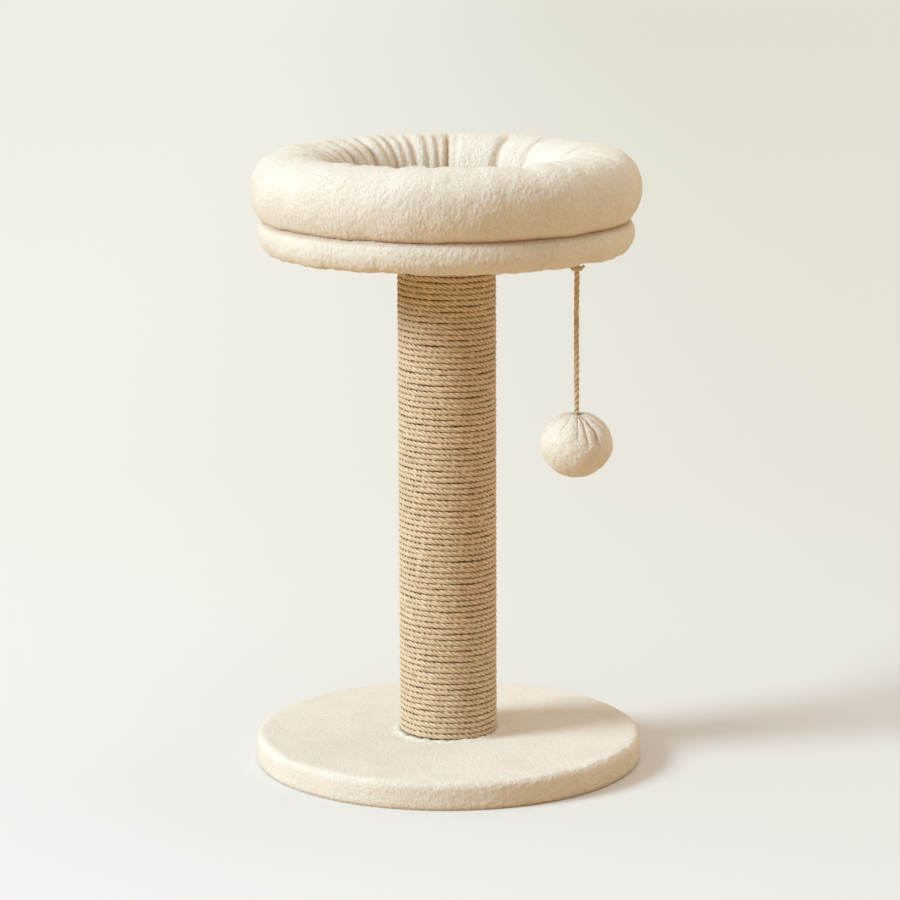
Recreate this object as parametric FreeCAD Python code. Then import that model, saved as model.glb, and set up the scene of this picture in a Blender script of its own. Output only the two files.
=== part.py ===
"""A round cat scratching post.

A plush-covered base board carries a paper tube wound with sisal rope. On the tube stands a padded,
plush-covered board with a soft nest that lifts off, a loose cushion in the nest, and a ball on a cord
under the board's edge.

The frame has +Z up, its origin on the floor on the axis of the post, and its front at -Y. Sizes are in
millimetres. Each sub-part is written to parts/NODE.step as one or more closed solids.
"""
import FreeCAD, Part

import math
import os

from FreeCAD import Vector

# plush and fits
plush_thickness = 4.0  # backing cloth and short pile
hem_thickness = 2.5  # the same plush, pressed flat under a board
fit_gap = 0.1  # round plugs, shanks and fillings
free_gap = 0.3  # between pieces that move apart
soft_sides = 36  # flat sides in one turn of a cover
hidden_sides = 18  # and of a filling

# base
base_radius = 200.0  # outside of the plush
base_board_thickness = 22.0
base_top_round = 7.0
base_bottom_round = 3.0
base_hem_width = 45.0
base_staple_count = 24

# post
tube_radius = 45.0
tube_wall = 5.0
post_length = 507.5  # from the base's plush to the bed board's plush
plug_thickness = 18.0
staples_per_plug = 4
plug_staple_leg = 20.0

# rope winding
rope_pitch = 5.87  # 6 mm rope, drawn tight
rope_radius = 2.7  # with a little air between the turns
rope_sides = 5  # flat sides round the rope, with an edge outwards
rope_lift = 0.2  # off the tube
rope_end_gap = 0.5  # from the plush, at both ends
shown_turns_per_end = 4  # turns wound one by one at each end, with a plain sleeve between
rope_staple_angle = 8.0  # from the rope's end, in degrees round the post

# bolts, washers and tee nuts
bolt_radius = 4.0
bolt_length = 45.0
bolt_head_radius = 8.5
bolt_head_thickness = 4.0
hex_key_width = 5.0
hex_key_depth = 2.4
washer_radius = 12.0
washer_thickness = 1.6
shank_clearance = 0.5
recess_clearance = 1.5
recess_depth = 8.0
tee_flange_radius = 11.0
tee_flange_thickness = 1.5
tee_barrel_wall = 1.2
tee_barrel_length = 10.0
tee_prong_count = 4
tee_prong_length = 6.0
tee_prong_width = 3.0
tee_prong_thickness = 1.2

# bed board
bed_radius = 191.5  # outside of the plush
bed_board_thickness = 15.0
bed_foam_top = 9.5
bed_foam_side = 7.5
bed_lower_round = 16.0  # how far in the plush curves under the edge
bed_upper_round = 11.5  # and over it
bed_access_radius = 15.0  # hole in foam and plush over the bolt's head
bed_hem_opening = 30.0  # hidden by the tube
bed_staple_count = 12
bed_staple_circle = 62.0

# nest
rim_overhang = 7.5  # of the rim over the bed board
rim_width = 86.7
rim_height = 68.0
rim_widest_height = 30.2
rim_fabric = 4.0
nest_floor_thickness = 3.0
patch_length = 40.0
patch_width = 20.0
patch_thickness = 0.8
patch_circle = 85.0
patch_count = 4

# loose cushion
cushion_clearance = 1.0  # so that it lifts out between the rim's narrowest points
cushion_thickness = 28.0
cushion_seam_height = 9.0
cushion_side_reach = 19.3  # how far in the lower side curves
cushion_fabric = 3.0

# toy on its cord
toy_inset = 22.1  # from the bed board's edge
toy_bearing = -40.5  # degrees from +X; negative is towards the front
cord_radius = 3.0
cord_sides = 10
cord_drop = 143.0  # hanging length from knot to ball
cord_bow = 0.8  # how far the cord strays from plumb
cord_bow_depth = 50.0  # and where, below its upper end
cord_arc_share = 0.45  # of the shorter run, taken by the arc between two runs
swivel_knot_radius = 4.8
anchor_knot_radius = 4.7
knot_sides = 8
ball_knot_radius = 6.5
ball_radius = 36.3
ball_height = 67.0
ball_fabric = 3.0
ball_gathers = 12
gather_depth = 0.06  # share of the ball's radius, at the mouth
ball_mouth_radius = 6.0
ball_mouth_depth = 4.0
thread_width = 1.0

# staples
staple_wire = 1.0
staple_span = 10.0
staple_leg = 9.0
staple_inset = 0.5  # pressed into the pile

# heights and radii that follow from these
base_board_bottom = hem_thickness
base_board_top = base_board_bottom + base_board_thickness
base_top = base_board_top + plush_thickness
base_board_radius = base_radius - plush_thickness
bed_bottom = base_top + post_length
bed_board_bottom = bed_bottom + hem_thickness
bed_board_top = bed_board_bottom + bed_board_thickness
bed_foam_height = bed_board_top + bed_foam_top
bed_top = bed_foam_height + plush_thickness
bed_board_radius = bed_radius - plush_thickness - bed_foam_side
bed_middle = (bed_bottom + bed_top) / 2
lower_plug_top = base_top + plug_thickness
upper_plug_bottom = bed_bottom - plug_thickness
base_recess_top = base_board_bottom + recess_depth
bed_recess_floor = bed_board_top - recess_depth
shank_hole_radius = bolt_radius + shank_clearance
recess_radius = washer_radius + recess_clearance
winding_inside = tube_radius + rope_lift
winding_radius = winding_inside + rope_radius
winding_outside = winding_radius + rope_radius
rim_bottom = bed_top + free_gap
rim_middle = bed_top + rim_widest_height
rim_outer_radius = bed_radius + rim_overhang
rim_centre_radius = rim_outer_radius - rim_width / 2
hook_top = bed_top + patch_thickness
loop_bottom = hook_top + free_gap
nest_floor_bottom = loop_bottom + patch_thickness
nest_floor_top = nest_floor_bottom + nest_floor_thickness
cushion_bottom = nest_floor_top + free_gap
cushion_radius = rim_outer_radius - rim_width - cushion_clearance
toy_distance = bed_radius - toy_inset
toy_x = toy_distance * math.cos(math.radians(toy_bearing))
toy_y = toy_distance * math.sin(math.radians(toy_bearing))
pivot_height = bed_bottom - free_gap - swivel_knot_radius
cord_top = pivot_height - swivel_knot_radius - free_gap
cord_bottom = cord_top - cord_drop
ball_top = cord_bottom + ball_mouth_depth
ball_inside_top = cord_bottom - ball_fabric

floor_centre = Vector(0, 0, 0)
upwards = Vector(0, 0, 1)


# making shapes
def ellipse_points(centre_radius, centre_height, across, tall, start, end, steps):
    """Points (radius, height) on part of an ellipse; 0 degrees points outwards and 90 upwards."""
    angles = [math.radians(start + (end - start) * k / steps) for k in range(steps + 1)]
    return [(centre_radius + across * math.cos(a), centre_height + tall * math.sin(a)) for a in angles]


def without_repeats(points):
    """The outline's points, leaving out each one that lies on the point before it."""
    kept = []
    for radius, height in points:
        if not kept or math.hypot(radius - kept[-1][0], height - kept[-1][1]) > 1e-6:
            kept.append((radius, height))
    return kept


def soft_turned(points, sides=soft_sides):
    """The flat-sided solid of an outline of (radius, height) points, turned about the post's axis.

    An outline that starts on the axis is closed there.
    """
    outline = without_repeats(points)
    solid_middle = outline[0][0] == 0
    off_axis = [point for point in outline if point[0] > 0]
    rings = [level_ring([radius] * sides, height) for radius, height in off_axis]
    return stacked(rings, not solid_middle)


def round_a_board(radius):
    """Corner radius of a flat-sided piece that just clears a round board."""
    return radius / math.cos(math.pi / soft_sides)


def outwards(solid):
    return solid if solid.Volume > 0 else solid.reversed()


def cylinder(radius, bottom, top, x=0, y=0):
    return Part.makeCylinder(radius, top - bottom, Vector(x, y, bottom))


def ring(radius, bore, bottom, top, x=0, y=0):
    return cylinder(radius, bottom, top, x, y).cut(cylinder(bore, bottom - 1, top + 1, x, y))


def round_the_post(shape, count, first=0):
    """Copies of a shape, evenly spaced round the post's axis."""
    copies = []
    for k in range(count):
        copy = shape.copy()
        copy.rotate(floor_centre, upwards, first + 360 * k / count)
        copies.append(copy)
    return copies


def flat_faces(corners):
    """The face of a polygon, or two triangles where its four corners aren't in one plane."""
    if len(corners) == 4:
        first, second, third, fourth = corners
        normal = (second - first).cross(third - first)
        if abs(normal.dot(fourth - first)) > 1e-6 * normal.Length:
            return flat_faces([first, second, third]) + flat_faces([first, third, fourth])
    return [Part.Face(Part.makePolygon(corners + corners[:1]))]


def stacked(rings, closed=False):
    """A flat-sided solid through level rings of as many corners each, open-ended ones capped."""
    pairs = list(zip(rings, rings[1:]))
    faces = []
    if closed:
        pairs.append((rings[-1], rings[0]))
    else:
        faces += flat_faces(rings[0][::-1]) + flat_faces(rings[-1])
    for low, high in pairs:
        for k in range(len(low)):
            beside = (k + 1) % len(low)
            faces += flat_faces([low[k], low[beside], high[beside], high[k]])
    return outwards(Part.Solid(Part.Shell(faces)))


def level_ring(radii, height, x=0, y=0):
    """Corners at the given radii, evenly spaced round an upright axis."""
    angles = [2 * math.pi * k / len(radii) for k in range(len(radii))]
    return [Vector(x + r * math.cos(a), y + r * math.sin(a), height) for r, a in zip(radii, angles)]


def knot(radius, x, y, middle):
    """A drawn-tight knot, within a ball of the given radius."""
    levels = ellipse_points(0, middle, radius, radius, -72, 72, 4)
    return stacked([level_ring([reach] * knot_sides, height, x, y) for reach, height in levels])


def staple(span, leg):
    """A U staple with its crown along Y and its legs upwards."""
    half = span / 2
    inner = half - staple_wire
    outline = [
        (-half, 0), (half, 0), (half, leg), (inner, leg),
        (inner, staple_wire), (-inner, staple_wire), (-inner, leg), (-half, leg), (-half, 0),
    ]
    face = Part.Face(Part.makePolygon([Vector(-staple_wire / 2, y, z) for y, z in outline]))
    return face.extrude(Vector(staple_wire, 0, 0))


def staple_into_post(span, leg, outside, height):
    """A staple driven towards the axis, its crown level."""
    driven = staple(span, leg)
    driven.rotate(floor_centre, Vector(0, 1, 0), -90)
    driven.translate(Vector(outside, 0, height))
    return driven


# boards and their covers
def make_base_board():
    board = ring(base_board_radius, shank_hole_radius, base_board_bottom, base_board_top)
    return board.cut(cylinder(recess_radius, base_board_bottom - 1, base_recess_top))


def make_base_cover():
    """Plush over the top and side of the base board, turned under it."""
    hem_radius = base_radius - base_hem_width
    low, high = base_bottom_round, base_top_round
    inside = round_a_board(base_board_radius)
    return soft_turned(
        [(shank_hole_radius, base_top), (shank_hole_radius, base_board_top)]
        + [(inside, base_board_top), (inside, base_board_bottom)]
        + [(hem_radius, base_board_bottom), (hem_radius, 0)]
        + ellipse_points(base_radius - low, low, low, low, -90, 0, 1)
        + ellipse_points(base_radius - high, base_top - high, high, high, 0, 90, 3)
    )


def make_base_staples():
    one = staple(staple_span, staple_leg)
    one.translate(Vector(base_radius - base_hem_width + staple_span, 0, staple_inset))
    return Part.makeCompound(round_the_post(one, base_staple_count))


def bed_outline(thickness, from_radius):
    """The bed board's padded edge, a layer's thickness inside its outer surface, from below to above."""
    tall = (bed_top - bed_bottom) / 2 - thickness
    low_centre = bed_radius - bed_lower_round
    low_reach = bed_lower_round - thickness
    high_centre = bed_radius - bed_upper_round
    high_reach = bed_upper_round - thickness
    share = max(0, (from_radius - low_centre) / low_reach)
    first = -math.degrees(math.acos(share))
    return (
        ellipse_points(low_centre, bed_middle, low_reach, tall, first, 0, 3)
        + ellipse_points(high_centre, bed_middle, high_reach, tall, 0, 90, 3)
    )


def make_bed_board():
    board = ring(bed_board_radius, shank_hole_radius, bed_board_bottom, bed_board_top)
    recess = cylinder(recess_radius, bed_recess_floor, bed_board_top + 1)
    return board.cut(recess).cut(cord_hole(bed_board_bottom - 1, bed_board_top + 1, fit_gap))


def make_bed_padding():
    """Foam over the board and round its side, with a pocket for the cord's knot."""
    inside = round_a_board(bed_board_radius)
    foam = soft_turned(
        [(bed_access_radius, bed_board_top), (inside, bed_board_top)]
        + bed_outline(plush_thickness, inside)
        + [(bed_access_radius, bed_foam_height)]
    )
    return foam.cut(toy_prism(anchor_knot_radius + fit_gap, bed_board_top - 1, bed_foam_height + 1))


def make_bed_cover():
    """Plush over the padded board, drawn under it as far as the post."""
    inside = round_a_board(bed_board_radius)
    cover = soft_turned(
        [(bed_access_radius, bed_top), (bed_access_radius, bed_foam_height)]
        + bed_outline(plush_thickness, inside)[::-1]
        + [(inside, bed_board_bottom), (bed_hem_opening, bed_board_bottom), (bed_hem_opening, bed_bottom)]
        + bed_outline(0, 0)
    )
    return cover.cut(cord_hole(bed_bottom - 1, bed_board_bottom + 1, fit_gap))


def make_bed_staples():
    one = staple(staple_span, staple_leg)
    one.translate(Vector(bed_staple_circle, 0, bed_bottom + staple_inset))
    return Part.makeCompound(round_the_post(one, bed_staple_count))


# bolts, washers and tee nuts, drawn standing on their outer face
def at_both_ends(piece, lower_face, upper_face):
    """The piece pointing up from one height and down from the other."""
    lower = piece.copy()
    lower.translate(Vector(0, 0, lower_face))
    upper = piece.copy()
    upper.rotate(floor_centre, Vector(1, 0, 0), 180)
    upper.translate(Vector(0, 0, upper_face))
    return [lower, upper]


def make_post_bolts():
    """A flat-headed bolt up through the base and one down through the bed board."""
    head = cylinder(bolt_head_radius, 0, bolt_head_thickness)
    shank = cylinder(bolt_radius, 0, bolt_head_thickness + bolt_length)
    corner_radius = hex_key_width / 2 / math.cos(math.pi / 6)
    corners = level_ring([corner_radius] * 6, 0)
    socket = Part.Face(Part.makePolygon(corners + corners[:1])).extrude(upwards * hex_key_depth)
    bolt = head.fuse(shank).removeSplitter().cut(socket)
    under_head = washer_thickness + bolt_head_thickness
    return Part.makeCompound(at_both_ends(bolt, base_recess_top - under_head, bed_recess_floor + under_head))


def make_post_washers():
    washer = ring(washer_radius, bolt_radius + fit_gap, 0, washer_thickness)
    return Part.makeCompound(
        at_both_ends(washer, base_recess_top - washer_thickness, bed_recess_floor + washer_thickness)
    )


def tee_nuts():
    """A pronged nut on the inner face of each plug: upper one first, because it points up."""
    bore = bolt_radius + fit_gap
    flange = cylinder(tee_flange_radius, 0, tee_flange_thickness)
    barrel = cylinder(bore + tee_barrel_wall, 0, tee_flange_thickness + tee_barrel_length)
    prong = Part.makeBox(
        tee_prong_thickness,
        tee_prong_width,
        tee_flange_thickness + tee_prong_length,
        Vector(tee_flange_radius - 2 * tee_prong_thickness, -tee_prong_width / 2, 0),
    )
    nut = flange.multiFuse([barrel] + round_the_post(prong, tee_prong_count)).removeSplitter()
    nut = nut.cut(cylinder(bore, -1, tee_flange_thickness + tee_barrel_length + 1))
    return at_both_ends(nut, upper_plug_bottom - tee_flange_thickness, lower_plug_top + tee_flange_thickness)


def make_tee_nuts():
    return Part.makeCompound(tee_nuts())


# post
def make_post_tube():
    return ring(tube_radius, tube_radius - tube_wall, base_top, bed_bottom)


def plug(bottom):
    return ring(tube_radius - tube_wall - fit_gap, shank_hole_radius, bottom, bottom + plug_thickness)


def make_post_plugs():
    upper_nut, lower_nut = tee_nuts()
    return Part.makeCompound([plug(base_top).cut(lower_nut), plug(upper_plug_bottom).cut(upper_nut)])


def make_plug_staples():
    """Staples through the tube into each plug, their crowns sunk flush with the paper."""
    outside = math.sqrt(tube_radius ** 2 - (staple_span / 2) ** 2)
    staples = []
    for height in (base_top + plug_thickness / 2, bed_bottom - plug_thickness / 2):
        one = staple_into_post(staple_span, plug_staple_leg, outside, height)
        staples += round_the_post(one, staples_per_plug, 45)
    return Part.makeCompound(staples)


# rope winding
def winding_point(turn, first_height):
    """The middle of the rope, a number of turns from its lower end; it climbs clockwise from above."""
    angle = -2 * math.pi * turn
    height = first_height + rope_pitch * turn
    return Vector(winding_radius * math.cos(angle), winding_radius * math.sin(angle), height)


def winding_direction(turn):
    angle = -2 * math.pi * turn
    return Vector(math.sin(angle), -math.cos(angle), rope_pitch / (2 * math.pi * winding_radius)).normalize()


def arc_middle(start, direction, end):
    """The middle of the arc that leaves start in a direction and ends at end."""
    chord = (end - start).normalize()
    bulge = (direction - chord * direction.dot(chord)).normalize()
    rise = start.distanceToPoint(end) / 2 * math.tan(direction.getAngle(chord) / 2)
    return (start + end) * 0.5 + bulge * rise


def biarc(start, start_direction, end, end_direction):
    """Two arcs that join smoothly, from one point and direction to another."""
    chord = end - start
    spread = 2 * (1 - start_direction.dot(end_direction))
    along = chord.dot(start_direction + end_direction)
    reach = (math.sqrt(along ** 2 + spread * chord.dot(chord)) - along) / spread
    meeting = (start + end + (start_direction - end_direction) * reach) * 0.5
    return [
        Part.Arc(start, arc_middle(start, start_direction, meeting), meeting).toShape(),
        Part.Arc(meeting, arc_middle(end, end_direction * -1, meeting), end).toShape(),
    ]


def rope_turns(first_height, turns):
    """One unbroken rope round the tube."""
    edges = []
    for half in range(2 * turns):
        here, there = half / 2, (half + 1) / 2
        edges += biarc(
            winding_point(here, first_height), winding_direction(here),
            winding_point(there, first_height), winding_direction(there),
        )
    section = ellipse_points(winding_radius, first_height, rope_radius, rope_radius, 0, 360, rope_sides)
    profile = Part.makePolygon([Vector(reach, 0, height) for reach, height in section])
    return Part.Wire(edges).makePipeShell([profile], True, False)


def print_rope_gap():
    """The least gap between neighbouring turns, measured between points along them."""
    steps = 240
    nearby = range(-5, 6)
    least = min(
        winding_point(k / steps, 0).distanceToPoint(winding_point(1 + (k + s) / steps, 0))
        for k in range(steps)
        for s in nearby
    )
    print("rope winding: least gap between turns %.2f mm" % (least - 2 * rope_radius))


lower_turns_start = base_top + rope_end_gap + rope_radius
upper_turns_start = bed_bottom - rope_end_gap - rope_radius - rope_pitch * shown_turns_per_end


def make_rope_winding():
    """The first and last turns wound one by one, and a plain sleeve for the turns between them."""
    clear_of_turn = rope_pitch - rope_radius
    sleeve_bottom = lower_turns_start + rope_pitch * shown_turns_per_end + clear_of_turn
    sleeve = ring(winding_outside, winding_inside, sleeve_bottom, upper_turns_start - clear_of_turn)
    print_rope_gap()
    return Part.makeCompound([
        rope_turns(lower_turns_start, shown_turns_per_end),
        sleeve,
        rope_turns(upper_turns_start, shown_turns_per_end),
    ])


def make_rope_end_staples():
    """A staple through each end of the rope into the tube."""
    staples = []
    rise = rope_pitch * rope_staple_angle / 360
    upper_turns_end = upper_turns_start + rope_pitch * shown_turns_per_end
    outside = math.sqrt(winding_outside ** 2 - (staple_span / 2) ** 2)
    for height, bearing in (
        (lower_turns_start + rise - staple_wire / 2, -rope_staple_angle),
        (upper_turns_end - rise - staple_wire / 2, rope_staple_angle),
    ):
        one = staple_into_post(staple_span, staple_leg, outside, height)
        one.rotate(floor_centre, upwards, bearing)
        staples.append(one)
    return Part.makeCompound(staples)


# nest
def rim_reach(height):
    """Half the rim's width at a height."""
    return rim_width / 2 * math.sqrt(1 - ((height - rim_middle) / (rim_height - rim_widest_height)) ** 2)


def rim_section(inset, steps):
    """The rim's section, a distance inside its outer surface: an ellipse that lies flat below."""
    across = rim_width / 2 - inset
    tall = rim_height - rim_widest_height - inset
    flat = math.degrees(math.asin((rim_middle - rim_bottom - inset) / tall))
    return ellipse_points(rim_centre_radius, rim_middle, across, tall, -flat, 180 + flat, steps)


def make_bolster_cover():
    return soft_turned(rim_section(0, 14)).cut(soft_turned(rim_section(rim_fabric, 7), hidden_sides))


def make_bolster_filling():
    return soft_turned(rim_section(rim_fabric + fit_gap, 7), hidden_sides)


def make_nest_floor():
    """Quilted cloth, sewn to the rim all round."""
    radius = rim_centre_radius - rim_reach(nest_floor_top) - fit_gap
    return soft_turned([(0, nest_floor_bottom), (radius, nest_floor_bottom), (radius, nest_floor_top)])


def patches(bottom):
    corner = Vector(patch_circle - patch_width / 2, -patch_length / 2, bottom)
    one = Part.makeBox(patch_width, patch_length, patch_thickness, corner)
    return Part.makeCompound(round_the_post(one, patch_count, 45))


def make_hook_patches():
    return patches(bed_top)


def make_loop_patches():
    return patches(loop_bottom)


# loose cushion
def cushion_solid(inset, sides):
    """Flat below, curved in to the seam at the sides, and crowned above."""
    radius = cushion_radius - inset
    bottom = cushion_bottom + inset
    seam = cushion_bottom + cushion_seam_height
    crown = cushion_thickness - cushion_seam_height - inset
    side = ellipse_points(radius - cushion_side_reach, seam, cushion_side_reach, seam - bottom, -90, 0, 2)
    top = []
    for angle in range(75, 0, -15):
        share = math.sin(math.radians(angle))
        top.append((radius * share, seam + crown * (1 - share ** 4) ** 0.75))
    return soft_turned([(0, bottom)] + side + top, sides)


def make_cushion_cover():
    return cushion_solid(0, soft_sides).cut(cushion_solid(cushion_fabric, hidden_sides))


def make_cushion_filling():
    return cushion_solid(cushion_fabric + fit_gap, hidden_sides)


# toy on its cord
def cord_hole(bottom, top, clearance):
    return cylinder(cord_radius + clearance, bottom, top, toy_x, toy_y)


def make_cord_anchor():
    """The cord's upper end: up through the bed board, and knotted on top of it."""
    stub = toy_prism(cord_radius, bed_bottom, bed_board_top + anchor_knot_radius)
    return stub.fuse(knot(anchor_knot_radius, toy_x, toy_y, bed_board_top + anchor_knot_radius))


def make_toy_knot():
    return knot(swivel_knot_radius, toy_x, toy_y, pivot_height)


def make_toy_cord():
    """The hanging cord: straight runs joined by arcs as large as the runs allow."""
    route = [
        Vector(toy_x, toy_y, cord_top),
        Vector(toy_x - cord_bow, toy_y, cord_top - cord_bow_depth),
        Vector(toy_x, toy_y, cord_bottom),
    ]
    edges = []
    last = route[0]
    for before, corner, after in zip(route, route[1:], route[2:]):
        back = before - corner
        onward = after - corner
        setback = cord_arc_share * min(back.Length, onward.Length)
        half_turn = (math.pi - back.getAngle(onward)) / 2
        start = corner + back.normalize() * setback
        end = corner + onward.normalize() * setback
        edges.append(Part.LineSegment(last, start).toShape())
        edges.append(Part.Arc(start, arc_middle(start, back * -1, end), end).toShape())
        print("toy cord: arc radius %.0f mm" % (setback / math.tan(half_turn)))
        last = end
    edges.append(Part.LineSegment(last, route[-1]).toShape())
    path = Part.Wire(edges)
    section = level_ring([cord_radius] * cord_sides, cord_top, toy_x, toy_y)
    profile = Part.makePolygon(section + section[:1])
    tube = path.makePipeShell([profile], True, False)
    expected = Part.Face(profile).Area * path.Length
    print("toy cord: volume %.0f, section times length %.0f" % (tube.Volume, expected))
    return tube


def ball_solid(inset, top, gathers, depth):
    """A ball of cloth a distance inside the outer surface, its folds deepening towards the mouth."""
    bottom = ball_top - ball_height + inset
    middle, tall = (top + bottom) / 2, (top - bottom) / 2
    rings = []
    for reach, height in ellipse_points(0, middle, ball_radius - inset, tall, -85, 85, 7):
        fold = depth * ball_radius * max(0, (height - middle) / tall) ** 2
        rings.append(level_ring([reach + fold, reach - fold] * gathers, height, toy_x, toy_y))
    return stacked(rings)


def toy_prism(radius, bottom, top):
    """A flat-sided upright hole or pocket on the toy's axis."""
    corners = level_ring([radius] * knot_sides, bottom, toy_x, toy_y)
    return Part.Face(Part.makePolygon(corners + corners[:1])).extrude(upwards * (top - bottom))


def make_ball_cover():
    outside = ball_solid(0, ball_top, ball_gathers, gather_depth)
    inside = ball_solid(ball_fabric, ball_inside_top, ball_gathers // 2, 0)
    mouth = toy_prism(ball_mouth_radius, cord_bottom, ball_top + 1)
    neck = toy_prism(cord_radius + 2 * free_gap, ball_inside_top - 1, cord_bottom + 1)
    return outside.cut(inside).cut(mouth).cut(neck)


def make_ball_filling():
    top = ball_inside_top - fit_gap
    stuffing = ball_solid(ball_fabric + fit_gap, top, ball_gathers // 2, 0)
    return stuffing.cut(toy_prism(ball_knot_radius + fit_gap, top - 2 * ball_knot_radius, top + 1))


def make_ball_knot():
    """The knot that holds the ball, with the cord's end above it."""
    middle = ball_inside_top - ball_knot_radius
    stub = toy_prism(cord_radius, middle, cord_bottom - free_gap)
    return stub.fuse(knot(ball_knot_radius, toy_x, toy_y, middle))


def make_gathering_thread():
    """Draws the mouth shut round the cord."""
    inside = cord_radius + 3 * free_gap
    outside = toy_prism(inside + thread_width, cord_bottom, cord_bottom + thread_width)
    return outside.cut(toy_prism(inside, cord_bottom - 1, cord_bottom + thread_width + 1))


NODES = {
    "base_board": make_base_board,
    "base_cover": make_base_cover,
    "base_staples": make_base_staples,
    "post_bolts": make_post_bolts,
    "post_washers": make_post_washers,
    "tee_nuts": make_tee_nuts,
    "post_plugs": make_post_plugs,
    "plug_staples": make_plug_staples,
    "post_tube": make_post_tube,
    "rope_winding": make_rope_winding,
    "rope_end_staples": make_rope_end_staples,
    "bed_board": make_bed_board,
    "bed_padding": make_bed_padding,
    "bed_cover": make_bed_cover,
    "bed_staples": make_bed_staples,
    "cord_anchor": make_cord_anchor,
    "hook_patches": make_hook_patches,
    "loop_patches": make_loop_patches,
    "nest_floor": make_nest_floor,
    "bolster_cover": make_bolster_cover,
    "bolster_filling": make_bolster_filling,
    "cushion_cover": make_cushion_cover,
    "cushion_filling": make_cushion_filling,
    "toy_knot": make_toy_knot,
    "toy_cord": make_toy_cord,
    "ball_cover": make_ball_cover,
    "ball_filling": make_ball_filling,
    "ball_knot": make_ball_knot,
    "gathering_thread": make_gathering_thread,
}


def main():
    os.makedirs("parts", exist_ok=True)
    for name, make in NODES.items():
        shape = make()
        if not shape.isValid():
            print("%s isn't valid" % name)
        shape.exportStep("parts/%s.step" % name)


main()
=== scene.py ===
"""Dresses the cat scratching post: plush, sisal rope, board, paper and steel, on a pale studio floor.

Everything is in metres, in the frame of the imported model: +Z up along the post, -Y to the front.
"""

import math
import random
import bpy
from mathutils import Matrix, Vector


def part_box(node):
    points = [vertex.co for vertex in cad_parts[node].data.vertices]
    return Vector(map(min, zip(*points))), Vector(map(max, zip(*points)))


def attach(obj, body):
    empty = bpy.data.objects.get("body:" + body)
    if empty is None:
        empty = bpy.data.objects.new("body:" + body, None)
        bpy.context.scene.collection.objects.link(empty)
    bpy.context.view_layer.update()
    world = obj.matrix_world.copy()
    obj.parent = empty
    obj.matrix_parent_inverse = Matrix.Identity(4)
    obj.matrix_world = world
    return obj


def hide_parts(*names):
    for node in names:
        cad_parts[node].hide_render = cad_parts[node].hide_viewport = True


bl_info = {
    "name": "Cat scratching post",
    "version": (1, 0, 0),
    "blender": (4, 5, 0),
    "location": "3D View > Sidebar > Scratching post",
    "description": "Dresses a round cat scratching post with a lift-off nest and a ball on a cord",
    "category": "Add Mesh",
}

import bmesh
import bpy
from bpy.props import FloatProperty, FloatVectorProperty, IntProperty, PointerProperty
from mathutils import Matrix, Vector, noise

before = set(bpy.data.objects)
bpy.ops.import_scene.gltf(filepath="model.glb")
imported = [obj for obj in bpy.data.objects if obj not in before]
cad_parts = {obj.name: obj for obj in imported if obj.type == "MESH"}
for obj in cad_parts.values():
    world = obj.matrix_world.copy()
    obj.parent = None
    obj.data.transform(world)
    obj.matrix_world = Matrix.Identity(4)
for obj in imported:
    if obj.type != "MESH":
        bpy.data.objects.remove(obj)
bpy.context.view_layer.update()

MM = 0.001
Z_AXIS = Vector((0, 0, 1))


def linear(hex_colour):
    """A colour written as sRGB hex, as the linear red, green and blue that shaders take."""
    channels = [int(hex_colour[k:k + 2], 16) / 255 for k in (1, 3, 5)]
    return [c / 12.92 if c <= 0.04045 else ((c + 0.055) / 1.055) ** 2.4 for c in channels]


# ---------------------------------------------------------------- sizes and colours that a user may change
def length(name, description, millimetres, least=0.0):
    """A length that a user may change, with its default in millimetres."""
    return FloatProperty(
        name=name, description=description, default=millimetres * MM, min=least, unit="LENGTH", precision=5
    )


def colour(name, description, hex_colour):
    """A colour that a user may change."""
    return FloatVectorProperty(
        name=name, description=description, default=linear(hex_colour), min=0, max=1, subtype="COLOR"
    )


class StudioSettings(bpy.types.PropertyGroup):
    """The floor and the light."""

    floor_colour: colour("Floor", "Colour of the paper at the front left", "#ECEBEA")
    bounce_colour: colour("Floor in reflected light", "Colour that the floor throws back at the post", "#D6B994")
    key_colour: colour("Key light colour", "Colour of the lamp at the left", "#D9EFFF")
    fill_colour: colour("Fill light colour", "Colour of the light all round", "#8F7A63")
    top_colour: colour("Top light colour", "Colour of the light from overhead", "#E4E6E6")
    right_colour: colour("Right light colour", "Colour of the light from the back right", "#FFF6E6")
    key_power: FloatProperty(name="Key light", description="Strength of the lamp at the left", default=3.32, min=0)
    key_softness: FloatProperty(
        name="Key softness", description="How wide the lamp looks from the post",
        default=math.radians(22), min=0, subtype="ANGLE",
    )
    key_height: FloatProperty(
        name="Key height", description="How high the lamp stands, as an angle",
        default=math.radians(30), min=0, subtype="ANGLE",
    )
    key_bearing: FloatProperty(
        name="Key bearing", description="How far in front of the post's left side the lamp stands, as an angle",
        default=math.radians(19), subtype="ANGLE",
    )


class PlushSettings(bpy.types.PropertyGroup):
    """The short-pile plush of the covers."""

    pile_colour: colour("Pile", "Colour of the plush at the tips of its pile", "#F0EADE")
    root_colour: colour("Roots", "Colour deep between the tufts of pile", "#DECDB2")
    # painted shade: the colour that the plush is darkened towards in its creases, folds and seams
    fold_shade_colour: colour("Folds", "Colour of the pile where it is tucked in", "#B78A58")
    clump_length: length("Clump length", "Length of one clump of pile, along its lie", 4.0, 0.0005)
    clump_width: length("Clump width", "Width of one clump of pile", 2.6, 0.0003)
    clump_height: length("Clump height", "How far the clumps stand out", 1.3)


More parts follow.
